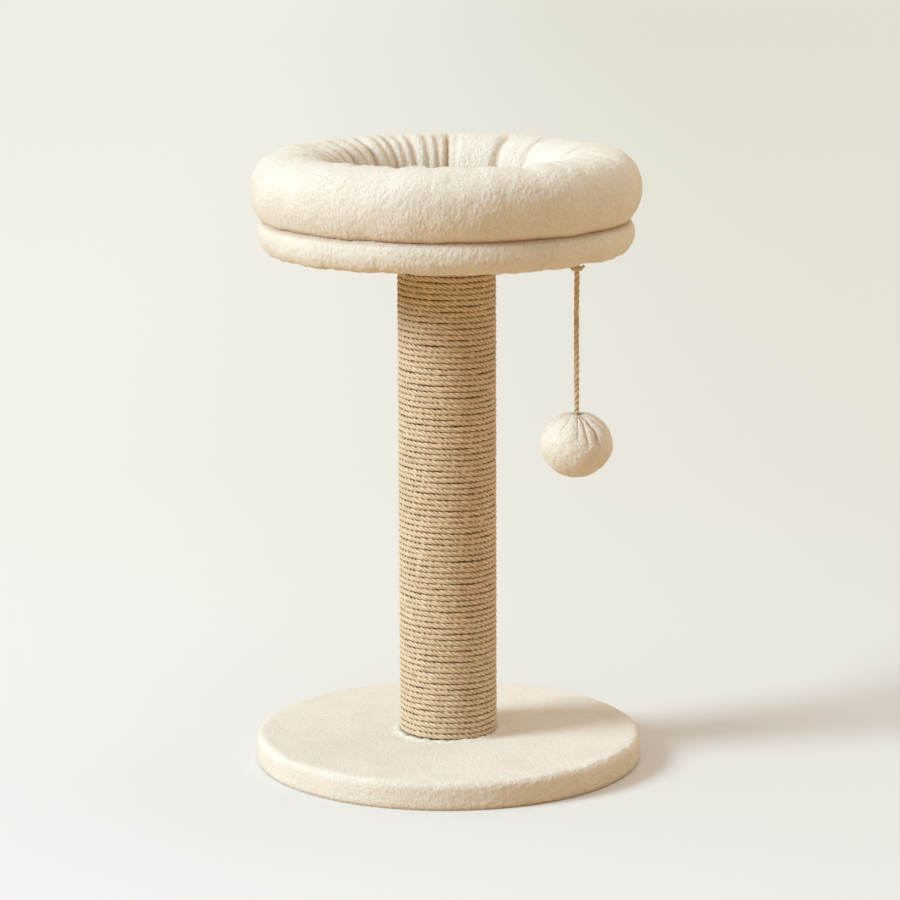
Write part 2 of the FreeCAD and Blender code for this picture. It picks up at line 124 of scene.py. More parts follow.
class RopeSettings(bpy.types.PropertyGroup):
    """Three-strand sisal rope."""

    rope_colour: colour("Sisal", "Colour of the rope's outer fibres", "#F6E3C4")
    # painted shade: the rope is darkened towards the next colour in the grooves between strands, which also tints
    # random fibres, and towards a warm shade colour between two turns
    groove_shade_and_fibre_colour: colour("Sisal in the grooves", "Colour between the strands", "#CFAD7F")
    gap_shade_colour: colour("Sisal between the turns", "Colour deep between two turns", "#E0B27A")
    rope_diameter: length("Rope diameter", "Diameter of the rope", 6.0, 0.001)
    turn_spacing: length("Turn spacing", "From one turn of the winding to the next", 5.87, 0.001)
    lay_length: length("Lay length", "Length in which a strand goes once round the rope", 19.0, 0.005)
    wander: length("Wander", "How far the turns stray from an even winding", 0.75)
    fibre_count: IntProperty(
        name="Stray fibres", description="Fibres that stand off the winding", default=1500, min=0
    )


class NestSettings(bpy.types.PropertyGroup):
    """The bolster and what lies in it."""

    gather_depth: length("Gather depth", "Depth of the gathers inside the rim", 8.0)
    gather_width: length("Gather width", "Width of one gather's crease", 3.6, 0.001)
    near_gathers: IntProperty(
        name="Gathers at the front", description="Gathers in the part of the rim that faces away", default=12, min=0
    )
    quilt_size: length("Quilting", "Distance between the floor's quilting seams", 32.0, 0.005)


class ToySettings(bpy.types.PropertyGroup):
    """The ball."""

    gather_depth: length("Gather depth", "Depth of the gathers at the ball's mouth", 3.5)


# ---------------------------------------------------------------- materials
def add_node(tree, kind, inputs=None, stops=(), **settings):
    """Adds a shader node with its settings; an input is a value, or the output that feeds it.

    A colour ramp's stops are each a position and a linear colour or a grey.
    """
    added = tree.nodes.new("ShaderNode" + kind)
    for name, value in settings.items():
        setattr(added, name, value)
    for k, (position, tone) in enumerate(stops):
        elements = added.color_ramp.elements
        element = elements[k] if k < len(elements) else elements.new(position)
        element.position = position
        element.color = [*tone, 1] if hasattr(tone, "__len__") else [tone, tone, tone, 1]
    for name, value in (inputs or {}).items():
        socket = added.inputs[name]
        if isinstance(value, bpy.types.NodeSocket):
            tree.links.new(value, socket)
        else:
            socket.default_value = [*value, 1] if socket.type == "RGBA" else value
    return added


def new_material(name):
    """An empty material and its node tree."""
    material = bpy.data.materials.new(name)
    material.use_nodes = True
    material.node_tree.nodes.clear()
    return material, material.node_tree


def per_metre(millimetres):
    """The scale at which a pattern repeats once in that many millimetres."""
    return 1 / (millimetres * MM)


def plush_material(name, pile, roots, folds):
    """Short-pile polyester plush, knitted and brushed: matt, with a soft bloom at grazing angles.

    Its map runs across the lie of the pile in U and along it in V, in clumps. The pile lies in patches, so it is
    lighter and darker by areas, and its tips are lighter than its roots. Painted shade darkens it towards the fold
    colour in its creases and folds and along its seams.
    """
    material, tree = new_material(name)
    lie = add_node(tree, "UVMap", uv_map="pile").outputs["UV"]
    place = add_node(tree, "TexCoord").outputs["Object"]
    strokes = add_node(
        tree, "TexNoise", {"Vector": lie, "Scale": 1.4, "Detail": 3, "Roughness": 0.6, "Distortion": 0.7},
        noise_dimensions="2D",
    ).outputs["Fac"]
    tips = add_node(tree, "TexNoise", {"Vector": place, "Scale": per_metre(1.1), "Detail": 2}).outputs["Fac"]
    areas = add_node(tree, "TexNoise", {"Vector": place, "Scale": per_metre(42), "Detail": 2}).outputs["Fac"]
    patches = add_node(
        tree, "ValToRGB", {"Fac": areas}, [(0.36, (0.955, 0.95, 0.93)), (0.6, (1, 1, 1))]
    ).outputs["Color"]
    parted = add_node(tree, "ValToRGB", {"Fac": strokes}, [(0.34, 0.55), (0.56, 0.0)]).outputs["Color"]
    by_stroke = add_node(tree, "Mix", {0: parted, 6: pile, 7: roots}, data_type="RGBA").outputs[2]
    # painted shade: the attribute "tucked" darkens the plush towards the fold colour in creases, folds and seams
    tucked = add_node(tree, "Attribute", attribute_name="tucked").outputs["Fac"]
    with_fold_shade = add_node(tree, "Mix", {0: tucked, 6: by_stroke, 7: folds}, data_type="RGBA").outputs[2]
    tone = add_node(
        tree, "Mix", {0: 1.0, 6: with_fold_shade, 7: patches}, data_type="RGBA", blend_type="MULTIPLY"
    ).outputs[2]
    brushed = add_node(tree, "Bump", {"Height": strokes, "Distance": 0.7 * MM, "Strength": 1.0}).outputs["Normal"]
    fuzzy = add_node(
        tree, "Bump", {"Height": tips, "Distance": 0.25 * MM, "Strength": 1.0, "Normal": brushed}
    ).outputs["Normal"]
    shader = add_node(tree, "BsdfPrincipled", {
        "Base Color": tone, "Roughness": 0.95, "IOR": 1.45, "Specular IOR Level": 0.15, "Sheen Weight": 0.3,
        "Sheen Roughness": 0.4, "Sheen Tint": pile, "Normal": fuzzy,
    })
    add_node(tree, "OutputMaterial", {"Surface": shader.outputs[0]})
    return material


def sisal_material(name, outer, deep, gap_shade, rope_length, girth):
    """Three-strand sisal rope: dry, stiff plant fibre, straw-coloured, with a faint silky gloss.

    Its map runs once along the rope in U and once round it in V.
    """
    material, tree = new_material(name)
    along_and_round = add_node(tree, "UVMap").outputs["UV"]
    scaled = add_node(
        tree, "Mapping", {"Vector": along_and_round, "Scale": (rope_length, girth, 1)}
    ).outputs["Vector"]
    # sisal fibre is 0.2 mm thick; it is drawn 0.45 mm wide and 13 mm long so that it shows
    stretched = add_node(tree, "Mapping", {"Vector": scaled, "Scale": (0.035, 1, 1)}).outputs["Vector"]
    fibres = add_node(
        tree, "TexNoise", {"Vector": stretched, "Scale": per_metre(0.45), "Detail": 2, "Roughness": 0.6}
    ).outputs["Fac"]
    batches = add_node(tree, "TexNoise", {"Vector": scaled, "Scale": per_metre(26), "Detail": 3}).outputs["Fac"]
    place = add_node(tree, "TexCoord").outputs["Object"]
    stained = add_node(tree, "TexNoise", {"Vector": place, "Scale": per_metre(45), "Detail": 2}).outputs["Fac"]
    # painted shade: the attribute "crest" darkens the rope in the grooves between strands and, warm, between two
    # turns; the deep colour also tints random fibres
    crest = add_node(tree, "Attribute", attribute_name="crest").outputs["Fac"]
    straw = add_node(tree, "ValToRGB", {"Fac": crest}, [(0.0, gap_shade), (0.3, deep), (0.72, outer)]).outputs["Color"]
    thin = add_node(tree, "ValToRGB", {"Fac": fibres}, [(0.36, 0.45), (0.54, 0.0)]).outputs["Color"]
    streaked = add_node(tree, "Mix", {0: thin, 6: straw, 7: deep}, data_type="RGBA").outputs[2]
    bands = add_node(
        tree, "ValToRGB", {"Fac": batches}, [(0.3, (0.90, 0.88, 0.85)), (0.6, (1.0, 1.0, 1.0))]
    ).outputs["Color"]
    tinted = add_node(
        tree, "Mix", {0: 1.0, 6: streaked, 7: bands}, data_type="RGBA", blend_type="MULTIPLY"
    ).outputs[2]
    aged = add_node(
        tree, "ValToRGB", {"Fac": stained}, [(0.35, (0.96, 0.94, 0.91)), (0.6, (1.0, 1.0, 1.0))]
    ).outputs["Color"]
    tone = add_node(tree, "Mix", {0: 1.0, 6: tinted, 7: aged}, data_type="RGBA", blend_type="MULTIPLY").outputs[2]
    ridged = add_node(tree, "Bump", {"Height": fibres, "Distance": 0.45 * MM, "Strength": 1.0}).outputs["Normal"]
    shader = add_node(tree, "BsdfPrincipled", {
        "Base Color": tone, "Roughness": 0.6, "IOR": 1.5, "Specular IOR Level": 0.35, "Sheen Weight": 0.45,
        "Sheen Roughness": 0.45, "Sheen Tint": linear("#FFF3DE"), "Normal": ridged,
    })
    add_node(tree, "OutputMaterial", {"Surface": shader.outputs[0]})
    return material


def fibre_material(name, tint):
    """Loose sisal fibre: thin and straw-coloured, so it is plain but for its tone along its length."""
    material, tree = new_material(name)
    place = add_node(tree, "TexCoord").outputs["Object"]
    lengths = add_node(tree, "TexNoise", {"Vector": place, "Scale": per_metre(6)}).outputs["Fac"]
    tones = add_node(
        tree, "ValToRGB", {"Fac": lengths}, [(0.3, [0.8 * c for c in tint]), (0.7, tint)]
    ).outputs["Color"]
    shader = add_node(tree, "BsdfPrincipled", {"Base Color": tones, "Roughness": 0.65})
    add_node(tree, "OutputMaterial", {"Surface": shader.outputs[0]})
    return material


def quilted_material(name, cloth):
    """Brushed cotton cloth, quilted: a fine plain weave, matt, a little darker in random patches of its nap."""
    material, tree = new_material(name)
    place = add_node(tree, "TexCoord").outputs["Object"]
    # the threads are 0.3 mm apart; they are drawn 0.8 mm apart so that they show
    across = add_node(
        tree, "TexWave", {"Vector": place, "Scale": per_metre(0.8) / 20, "Distortion": 0.6},
        bands_direction="X", wave_profile="SIN",
    ).outputs["Fac"]
    along = add_node(
        tree, "TexWave", {"Vector": place, "Scale": per_metre(0.8) / 20, "Distortion": 0.6},
        bands_direction="Y", wave_profile="SIN",
    ).outputs["Fac"]
    weave = add_node(tree, "Math", {0: across, 1: along}, operation="MULTIPLY").outputs[0]
    nap = add_node(tree, "TexNoise", {"Vector": place, "Scale": per_metre(4), "Detail": 3}).outputs["Fac"]
    worn = add_node(tree, "ValToRGB", {"Fac": nap}, [(0.3, 0.35), (0.7, 0.0)]).outputs["Color"]
    tone = add_node(tree, "Mix", {0: worn, 6: cloth, 7: [0.82 * c for c in cloth]}, data_type="RGBA").outputs[2]
    woven = add_node(tree, "Bump", {"Height": weave, "Distance": 0.15 * MM, "Strength": 1.0}).outputs["Normal"]
    shader = add_node(tree, "BsdfPrincipled", {
        "Base Color": tone, "Roughness": 0.9, "Sheen Weight": 0.15, "Normal": woven,
    })
    add_node(tree, "OutputMaterial", {"Surface": shader.outputs[0]})
    return material


def chipboard_material(name):
    """Raw chipboard: pressed wood flakes of several tones, sanded flat and matt."""
    material, tree = new_material(name)
    place = add_node(tree, "TexCoord").outputs["Object"]
    flakes = add_node(tree, "TexVoronoi", {"Vector": place, "Scale": per_metre(4)}, feature="F1").outputs["Color"]
    picked = add_node(tree, "SeparateColor", {"Color": flakes}).outputs[0]
    tones = add_node(
        tree, "ValToRGB", {"Fac": picked},
        [(0.0, linear("#A98155")), (0.5, linear("#C7A272")), (1.0, linear("#DABB8C"))],
    ).outputs["Color"]
    dust = add_node(tree, "TexNoise", {"Vector": place, "Scale": per_metre(0.8), "Detail": 2}).outputs["Fac"]
    pores = add_node(tree, "ValToRGB", {"Fac": dust}, [(0.4, 0.5), (0.65, 0.0)]).outputs["Color"]
    tone = add_node(tree, "Mix", {0: pores, 6: tones, 7: linear("#8E6A43")}, data_type="RGBA").outputs[2]
    sanded = add_node(tree, "Bump", {"Height": dust, "Distance": 0.1 * MM, "Strength": 1.0}).outputs["Normal"]
    shader = add_node(tree, "BsdfPrincipled", {"Base Color": tone, "Roughness": 0.8, "Normal": sanded})
    add_node(tree, "OutputMaterial", {"Surface": shader.outputs[0]})
    return material


def kraft_paper_material(name):
    """Kraft paper wound in a spiral into a tube: brown, matt, with the seam of each ply showing."""
    material, tree = new_material(name)
    place = add_node(tree, "TexCoord").outputs["Object"]
    split = add_node(tree, "SeparateXYZ", {"Vector": place}).outputs
    bearing = add_node(tree, "Math", {0: split["Y"], 1: split["X"]}, operation="ARCTAN2").outputs[0]
    # one ply is 100 mm wide along the tube
    climbed = add_node(tree, "Math", {0: split["Z"], 1: per_metre(100)}, operation="MULTIPLY").outputs[0]
    turned = add_node(
        tree, "Math", {0: bearing, 1: 1 / (2 * math.pi), 2: climbed}, operation="MULTIPLY_ADD"
    ).outputs[0]
    ply = add_node(tree, "Math", {0: turned}, operation="FRACT").outputs[0]
    seam = add_node(
        tree, "ValToRGB", {"Fac": ply},
        [(0.0, linear("#6F5436")), (0.015, linear("#A5835A")), (1.0, linear("#9C7A52"))],
    ).outputs["Color"]
    pulp = add_node(tree, "TexNoise", {"Vector": place, "Scale": per_metre(1.5), "Detail": 3}).outputs["Fac"]
    flecks = add_node(tree, "ValToRGB", {"Fac": pulp}, [(0.35, 0.4), (0.65, 0.0)]).outputs["Color"]
    tone = add_node(tree, "Mix", {0: flecks, 6: seam, 7: linear("#7F6241")}, data_type="RGBA").outputs[2]
    rough = add_node(tree, "Bump", {"Height": pulp, "Distance": 0.05 * MM, "Strength": 1.0}).outputs["Normal"]
    shader = add_node(tree, "BsdfPrincipled", {"Base Color": tone, "Roughness": 0.85, "Normal": rough})
    add_node(tree, "OutputMaterial", {"Surface": shader.outputs[0]})
    return material


def zinc_material(name):
    """Zinc-plated steel, cold-formed and tumbled: bright grey, a little cloudy, with fine scuffs."""
    material, tree = new_material(name)
    place = add_node(tree, "TexCoord").outputs["Object"]
    cloud = add_node(tree, "TexNoise", {"Vector": place, "Scale": per_metre(5), "Detail": 3}).outputs["Fac"]
    tone = add_node(
        tree, "ValToRGB", {"Fac": cloud}, [(0.3, linear("#B4B6B5")), (0.7, linear("#D2D3D0"))]
    ).outputs["Color"]
    gloss = add_node(tree, "ValToRGB", {"Fac": cloud}, [(0.3, 0.42), (0.7, 0.28)]).outputs["Color"]
    scuffs = add_node(tree, "TexNoise", {"Vector": place, "Scale": per_metre(0.4)}).outputs["Fac"]
    scuffed = add_node(tree, "Bump", {"Height": scuffs, "Distance": 0.02 * MM, "Strength": 1.0}).outputs["Normal"]
    shader = add_node(tree, "BsdfPrincipled", {
        "Base Color": tone, "Roughness": gloss, "Metallic": 1.0, "Normal": scuffed,
    })
    add_node(tree, "OutputMaterial", {"Surface": shader.outputs[0]})
    return material


def hook_tape_material(name, tape):
    """Woven nylon hook-and-loop tape: rows of small stiff bristles on a flat backing."""
    material, tree = new_material(name)
    place = add_node(tree, "TexCoord").outputs["Object"]
    # the hooks stand 1.5 mm apart
    dots = add_node(
        tree, "TexVoronoi", {"Vector": place, "Scale": per_metre(1.5), "Randomness": 0.25}
    ).outputs["Distance"]
    tone = add_node(
        tree, "ValToRGB", {"Fac": dots}, [(0.1, tape), (0.6, [0.7 * c for c in tape])]
    ).outputs["Color"]
    bristly = add_node(tree, "Bump", {"Height": dots, "Distance": -0.4 * MM, "Strength": 1.0}).outputs["Normal"]
    shader = add_node(tree, "BsdfPrincipled", {"Base Color": tone, "Roughness": 0.6, "Normal": bristly})
    add_node(tree, "OutputMaterial", {"Surface": shader.outputs[0]})
    return material


def thread_material(name, tint):
    """Twisted polyester sewing thread: slightly glossy, with the twist showing as slanted ridges."""
    material, tree = new_material(name)
    place = add_node(tree, "TexCoord").outputs["Object"]
    twist = add_node(tree, "TexNoise", {"Vector": place, "Scale": per_metre(0.6), "Detail": 1}).outputs["Fac"]
    tone = add_node(
        tree, "ValToRGB", {"Fac": twist}, [(0.35, [0.75 * c for c in tint]), (0.65, tint)]
    ).outputs["Color"]
    ridged = add_node(tree, "Bump", {"Height": twist, "Distance": 0.1 * MM, "Strength": 1.0}).outputs["Normal"]
    shader = add_node(tree, "BsdfPrincipled", {"Base Color": tone, "Roughness": 0.5, "Normal": ridged})
    add_node(tree, "OutputMaterial", {"Surface": shader.outputs[0]})
    return material


def paper_floor_material(name, near, bounce):
    """Seamless background paper: matt, of one colour, with painted shade that makes it a little darker far away and
    to the right.

    The camera sees it pale. What it throws back at the post is darker and warmer.
    """
    material, tree = new_material(name)
    place = add_node(tree, "TexCoord").outputs["Object"]
    split = add_node(tree, "SeparateXYZ", {"Vector": place}).outputs
    away = add_node(tree, "MapRange", {"Value": split["Y"], "From Min": -0.5, "From Max": 9.5}).outputs["Result"]
    sideways = add_node(
        tree, "MapRange", {"Value": split["X"], "From Min": -0.8, "From Max": 0.8},
        interpolation_type="SMOOTHSTEP",
    ).outputs["Result"]
    # painted shade: the paper darkens far away and to the right, as the light falls off
    painted_falloff_far = add_node(tree, "ValToRGB", {"Fac": away}, [
        (0.0, (1, 1, 1)), (0.075, (0.965, 0.962, 0.942)), (0.2, (0.952, 0.933, 0.885)), (0.95, (0.908, 0.9, 0.835)),
    ]).outputs["Color"]
    fall = add_node(
        tree, "ValToRGB", {"Fac": sideways}, [(0.0, (1, 1, 1)), (1.0, (0.885, 0.87, 0.835))]
    ).outputs["Color"]
    farther = add_node(
        tree, "Mix", {0: 1.0, 6: near, 7: painted_falloff_far}, data_type="RGBA", blend_type="MULTIPLY"
    ).outputs[2]
    seen = add_node(tree, "Mix", {0: 1.0, 6: farther, 7: fall}, data_type="RGBA", blend_type="MULTIPLY").outputs[2]
    is_camera = add_node(tree, "LightPath").outputs["Is Camera Ray"]
    tone = add_node(tree, "Mix", {0: is_camera, 6: bounce, 7: seen}, data_type="RGBA").outputs[2]
    tooth = add_node(tree, "TexNoise", {"Vector": place, "Scale": per_metre(2)}).outputs["Fac"]
    even = add_node(tree, "Bump", {"Height": tooth, "Distance": 0.02 * MM, "Strength": 1.0}).outputs["Normal"]
    shader = add_node(tree, "BsdfPrincipled", {
        "Base Color": tone, "Roughness": 1.0, "Specular IOR Level": 0.0, "Normal": even,
    })
    add_node(tree, "OutputMaterial", {"Surface": shader.outputs[0]})
    return material


def material_of(name, make, *values):
    """The material of that name, made the first time that it is asked for."""
    return bpy.data.materials.get(name) or make(name, *values)


def plush():
    """The plush of every cover."""
    settings = bpy.context.scene.post_plush
    tints = [list(tint) for tint in (settings.pile_colour, settings.root_colour, settings.fold_shade_colour)]
    return material_of("cream_plush", plush_material, *tints)


# ---------------------------------------------------------------- small sums
def clamped(value):
    """The value, kept from 0 to 1."""
    return max(0.0, min(1.0, value))


def bell(distance, width):
    """1 at no distance, fading smoothly to almost nothing at two widths."""
    return math.exp(-(distance / width) ** 2)


def radial(vector):
    """How far a place is from the Z axis."""
    return math.hypot(vector.x, vector.y)


def degrees_apart(bearing, other):
    """From the other bearing to this one in degrees, the short way round."""
    return (bearing - other + 180) % 360 - 180


def turn_near(place, bearing):
    """The place's angle round the Z axis, as the one of its values that is nearest to a bearing."""
    return bearing + (math.atan2(place.y, place.x) - bearing + math.pi) % (2 * math.pi) - math.pi


# ---------------------------------------------------------------- making pieces
def linked(name, data):
    """An object with that data, in the scene."""
    made = bpy.data.objects.new(name, data)
    bpy.context.scene.collection.objects.link(made)
    return made


def mesh_from(bm, name):
    """The bmesh as a mesh."""
    mesh = bpy.data.meshes.new(name)
    bm.to_mesh(mesh)
    bm.free()
    return mesh


def applied(carrier):
    """The mesh that an object's modifiers or bevel give; the object itself is removed."""
    bpy.context.view_layer.update()
    evaluated = carrier.evaluated_get(bpy.context.evaluated_depsgraph_get())
    mesh = bpy.data.meshes.new_from_object(evaluated)
    bpy.data.objects.remove(carrier)
    return mesh


def piece_from(mesh, name, material, body, replaced=()):
    """A finished piece from a mesh whose place is in its vertices."""
    made = linked(name, mesh)
    mesh.materials.clear()
    mesh.materials.append(material)
    mesh.shade_smooth()
    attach(made, body)
    if replaced:
        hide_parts(*replaced)
    return made


def turned_mesh(name, outline, steps, closed=True, one_sheet=False):
    """The outline of (radius, height) points turned about the post's axis.

    Its map "pile" is in clumps of pile: across their lie in U and along it in V. The pile lies along the
    outline, or front to back where the cover is one sheet of cloth pulled over the edge.
    """
    settings = bpy.context.scene.post_plush
    bm = bmesh.new()
    run = bm.verts.layers.float.new("run")
    corners = []
    gone = 0.0
    for k, (radius, height) in enumerate(outline):
        gone += math.dist(outline[k], outline[k - 1]) if k else radius
        corner = bm.verts.new((radius, 0, height))
        corner[run] = gone
        corners.append(corner)
    total = gone - outline[0][0]
    # from the axis, along the whole outline, and back to the axis
    span = gone + outline[-1][0]
    pairs = list(zip(corners, corners[1:]))
    if closed:
        pairs.append((corners[-1], corners[0]))
        total += math.dist(outline[0], outline[-1])
    edges = [bm.edges.new(pair) for pair in pairs]
    bmesh.ops.spin(
        bm, geom=corners + edges, cent=(0, 0, 0), axis=Z_AXIS, dvec=(0, 0, 0),
        angle=2 * math.pi, steps=steps, use_merge=True,
    )
    bmesh.ops.remove_doubles(bm, verts=bm.verts, dist=1e-6)
    bmesh.ops.recalc_face_normals(bm, faces=bm.faces)
    widest = max(radius for radius, _ in outline)
    lie = bm.loops.layers.uv.new("pile")
    for face in bm.faces:
        middle = face.calc_center_median()
        bearing = math.atan2(middle.y, middle.x)
        runs = [loop.vert[run] for loop in face.loops]
        wraps = max(runs) - min(runs) > total / 2
        for loop, along in zip(face.loops, runs):
            if wraps and along < min(runs) + total / 2:
                along += total
            turn = turn_near(loop.vert.co, bearing)
            if one_sheet:
                # the far half of the outline comes back to the axis
                along = min(along, span - along)
                across, along = along * math.cos(turn), along * math.sin(turn)
            else:
                across = turn * widest
            loop[lie].uv = (across / settings.clump_width, along / settings.clump_length)
    return mesh_from(bm, name)


def spaced_line(start, end, spacing):
    """Points from start up to, but not at, end, at about that spacing."""
    reach = math.dist(start, end)
    count = max(1, round(reach / spacing))
    return [
        (start[0] + (end[0] - start[0]) * k / count, start[1] + (end[1] - start[1]) * k / count)
        for k in range(count)
    ]


def spaced_arc(centre, across, tall, first, last, spacing):
    """Points on part of an ellipse, up to but not at its last angle, at about that spacing."""
    reach = abs(math.radians(last - first)) * (across + tall) / 2
    count = max(2, round(reach / spacing))
    angles = [math.radians(first + (last - first) * k / count) for k in range(count)]
    return [(centre[0] + across * math.cos(a), centre[1] + tall * math.sin(a)) for a in angles]


def clump_texture():
    """Soft noise, in which one blotch is one clump of pile."""
    texture = bpy.data.textures.get("clumps")
    if not texture:
        texture = bpy.data.textures.new("clumps", "CLOUDS")
        # a Displace modifier reads its map at twice its scale, so 2 is one clump
        texture.noise_scale = 2.0
        texture.noise_depth = 1
    return texture


def mark(mesh, name, values):
    """Writes a number for each vertex, which a material reads."""
    mesh.attributes.new(name, "FLOAT", "POINT").data.foreach_set("value", values)


def with_pile(mesh, levels, height_share=1.0, nap=()):
    """The mesh made finer, and its skin moved in and out as clumps of pile, more where the nap is thick."""
    settings = bpy.context.scene.post_plush
    carrier = linked("carrier", mesh)
    if levels:
        finer = carrier.modifiers.new("Subdivision", "SUBSURF")
        finer.levels = finer.render_levels = levels
    clumps = carrier.modifiers.new("Clumps", "DISPLACE")
    clumps.texture = clump_texture()
    clumps.texture_coords = "UV"
    clumps.uv_layer = "pile"
    clumps.strength = settings.clump_height * height_share
    clumps.mid_level = 0.6
    if nap:
        thick = carrier.vertex_groups.new(name="nap")
        for index, weight in enumerate(nap):
            thick.add([index], weight, "REPLACE")
        clumps.vertex_group = "nap"
    return applied(carrier)


def close_holes(mesh):
    """Fills each open edge of the mesh with one face."""
    bm = bmesh.new()
    bm.from_mesh(mesh)
    bmesh.ops.holes_fill(bm, edges=[e for e in bm.edges if e.is_boundary], sides=0)
    bmesh.ops.recalc_face_normals(bm, faces=bm.faces)
    bm.to_mesh(mesh)
    bm.free()


def puff_up(mesh, held, pressure=4.0, cap=0.006):
    """Blows a padded cover up a little as cloth, its held vertices staying where they are sewn.

    No vertex moves farther than the cap.
    """
    scene = bpy.context.scene
    carrier = linked("carrier", mesh)
    sewn = carrier.vertex_groups.new(name="sewn")
    sewn.add(held, 1.0, "REPLACE")
    cloth = carrier.modifiers.new("Cloth", "CLOTH")
    cloth.settings.vertex_group_mass = "sewn"
    cloth.settings.use_pressure = True
    cloth.settings.uniform_pressure_force = pressure
    cloth.settings.effector_weights.gravity = 0
    cloth.settings.tension_stiffness = 15
    cloth.settings.bending_stiffness = 0.8
    first, last = 1, 20
    cloth.point_cache.frame_start = first
    cloth.point_cache.frame_end = last
    for number in range(first, last + 1):
        scene.frame_set(number)
    evaluated = carrier.evaluated_get(bpy.context.evaluated_depsgraph_get())
    for vertex, blown in zip(mesh.vertices, [v.co.copy() for v in evaluated.data.vertices]):
        moved = blown - vertex.co
        if moved.length > cap:
            moved = moved.normalized() * cap
        vertex.co += moved
    bpy.data.objects.remove(carrier)
    scene.frame_set(first)


# ---------------------------------------------------------------- rope
# as shares of the rope's radius: how far a strand's middle is from the rope's, and a strand's own radius
STRAND_OFFSET = 0.48
STRAND_RADIUS = 0.52
# painted shade: the share of the crest's painted light that the groove between two strands keeps
GROOVE = 0.3  # what the attribute "crest" says in the groove between two strands
UNEVEN_LAY = 1.1  # radians by which the strands run ahead or lag
UNEVEN_GIRTH = 0.11  # share by which the rope is thicker or thinner


def strand_reach(turn):
    """The section's reach from its middle at an angle, where one strand in three is nearest."""
    third = 2 * math.pi / 3
    aside = (turn + third / 2) % third - third / 2
    return STRAND_OFFSET * math.cos(aside) + math.sqrt(STRAND_RADIUS ** 2 - (STRAND_OFFSET * math.sin(aside)) ** 2)


def rope_mesh(name, route, radius, lay, first_turn=0.0, twist_mode="MINIMUM"):
    """Three strands laid round a route of closely spaced points, a little unevenly.

    The mesh carries the attribute "crest", which paints shade into the grooves: it is 1 on a strand's crest and
    falls to GROOVE between two. It also carries a map that runs along the rope in U and round it in V.
    """
    corners = 12
    section = bpy.data.curves.new("strand_section", "CURVE")
    spline = section.splines.new("POLY")
    spline.points.add(corners - 1)
    for k, point in enumerate(spline.points):
        turn = 2 * math.pi * k / corners
        reach = strand_reach(turn) * radius
        point.co = (reach * math.cos(turn), reach * math.sin(turn), 0, 1)
    spline.use_cyclic_u = True
    profile = linked("strand_section", section)

    curve = bpy.data.curves.new(name, "CURVE")
    curve.dimensions = "3D"
    curve.twist_mode = twist_mode
    spline = curve.splines.new("POLY")
    spline.points.add(len(route) - 1)
    run = 0.0
    for point, place, before in zip(spline.points, route, [route[0]] + route[:-1]):
        run += (place - before).length
        point.co = (*place, 1)
        uneven = noise.noise(place / (9 * MM))
        # a curve point's tilt stops at 60 turns, so it is kept within one
        point.tilt = (first_turn + 2 * math.pi * run / lay + UNEVEN_LAY * uneven) % (2 * math.pi)
        point.radius = 1 + UNEVEN_GIRTH * noise.noise(place / (5 * MM) + Z_AXIS)
    curve.bevel_mode = "OBJECT"
    curve.bevel_object = profile
    curve.use_fill_caps = True
    mesh = applied(linked(name, curve))
    mesh.name = name
    bpy.data.objects.remove(profile)

    bm = bmesh.new()
    bm.from_mesh(mesh)
    bmesh.ops.remove_doubles(bm, verts=bm.verts, dist=radius * 0.01)
    bmesh.ops.recalc_face_normals(bm, faces=bm.faces)
    bm.to_mesh(mesh)
    bm.free()
    crest = [0.0] * len(mesh.vertices)
    lowest, highest = strand_reach(math.pi / 3), strand_reach(0)
    reaches = [
        GROOVE + (1 - GROOVE) * (strand_reach(2 * math.pi * k / corners) - lowest) / (highest - lowest)
        for k in range(corners + 1)
    ]
    for loop, mapped in zip(mesh.loops, mesh.uv_layers[0].data):
        crest[loop.vertex_index] = reaches[round(mapped.uv.y * corners)]
    mark(mesh, "crest", crest)
    return mesh


def smooth_route(points, samples=48):
    """Points along the smooth line of a NURBS curve with these control points."""
    curve = bpy.data.curves.new("route", "CURVE")
    curve.dimensions = "3D"
    curve.resolution_u = samples
    spline = curve.splines.new("NURBS")
    spline.points.add(len(points) - 1)
    for point, place in zip(spline.points, points):
        point.co = (*place, 1)
    spline.order_u = 3
    spline.use_endpoint_u = True
    carrier = linked("route", curve)
    bpy.context.view_layer.update()
    line = bpy.data.meshes.new_from_object(carrier)
    route = [v.co.copy() for v in line.vertices]
    bpy.data.objects.remove(carrier)
    return route


def sisal(rope_length):
    """Sisal rope for a piece of that length, whose fibres keep their size on it."""
    settings = bpy.context.scene.post_rope
    girth = math.pi * settings.rope_diameter
    return material_of(
        "sisal_rope_%d_mm" % round(rope_length / MM), sisal_material,
        list(settings.rope_colour), list(settings.groove_shade_and_fibre_colour), list(settings.gap_shade_colour), rope_length, girth,
    )


def route_length(route):
    """The length of a route of closely spaced points."""
    return sum((b - a).length for a, b in zip(route, route[1:]))


def stray_fibres(name, roots, body, seed, reach):
    """Thin fibres that stand off a rope; each root is a place, a way out and a way along."""
    rng = random.Random(seed)
    curve = bpy.data.curves.new(name, "CURVE")
    curve.dimensions = "3D"
    curve.bevel_depth = 0.09 * MM
    curve.bevel_resolution = 0
    curve.use_fill_caps = True
    bends = 3
    for place, outward, along in roots:
        spline = curve.splines.new("POLY")
        spline.points.add(bends)
        long = reach * rng.uniform(0.5, 1.6)
        lift = rng.uniform(0.05, 0.55)
        side = along.cross(outward) * rng.uniform(-0.5, 0.5)
        heading = (along * rng.choice((-1, 1)) + side + outward * lift).normalized()
        droop = rng.uniform(-0.35, 0.25)
        for k, point in enumerate(spline.points):
            gone = k / bends
            bent = outward * (droop * gone * gone * long)
            point.co = (*(place + heading * long * gone + bent), 1)
            point.radius = 1 - 0.7 * gone
    mesh = applied(linked(name, curve))
    tint = list(bpy.context.scene.post_rope.rope_colour)
    return piece_from(mesh, name, material_of("sisal_fibre", fibre_material, tint), body)


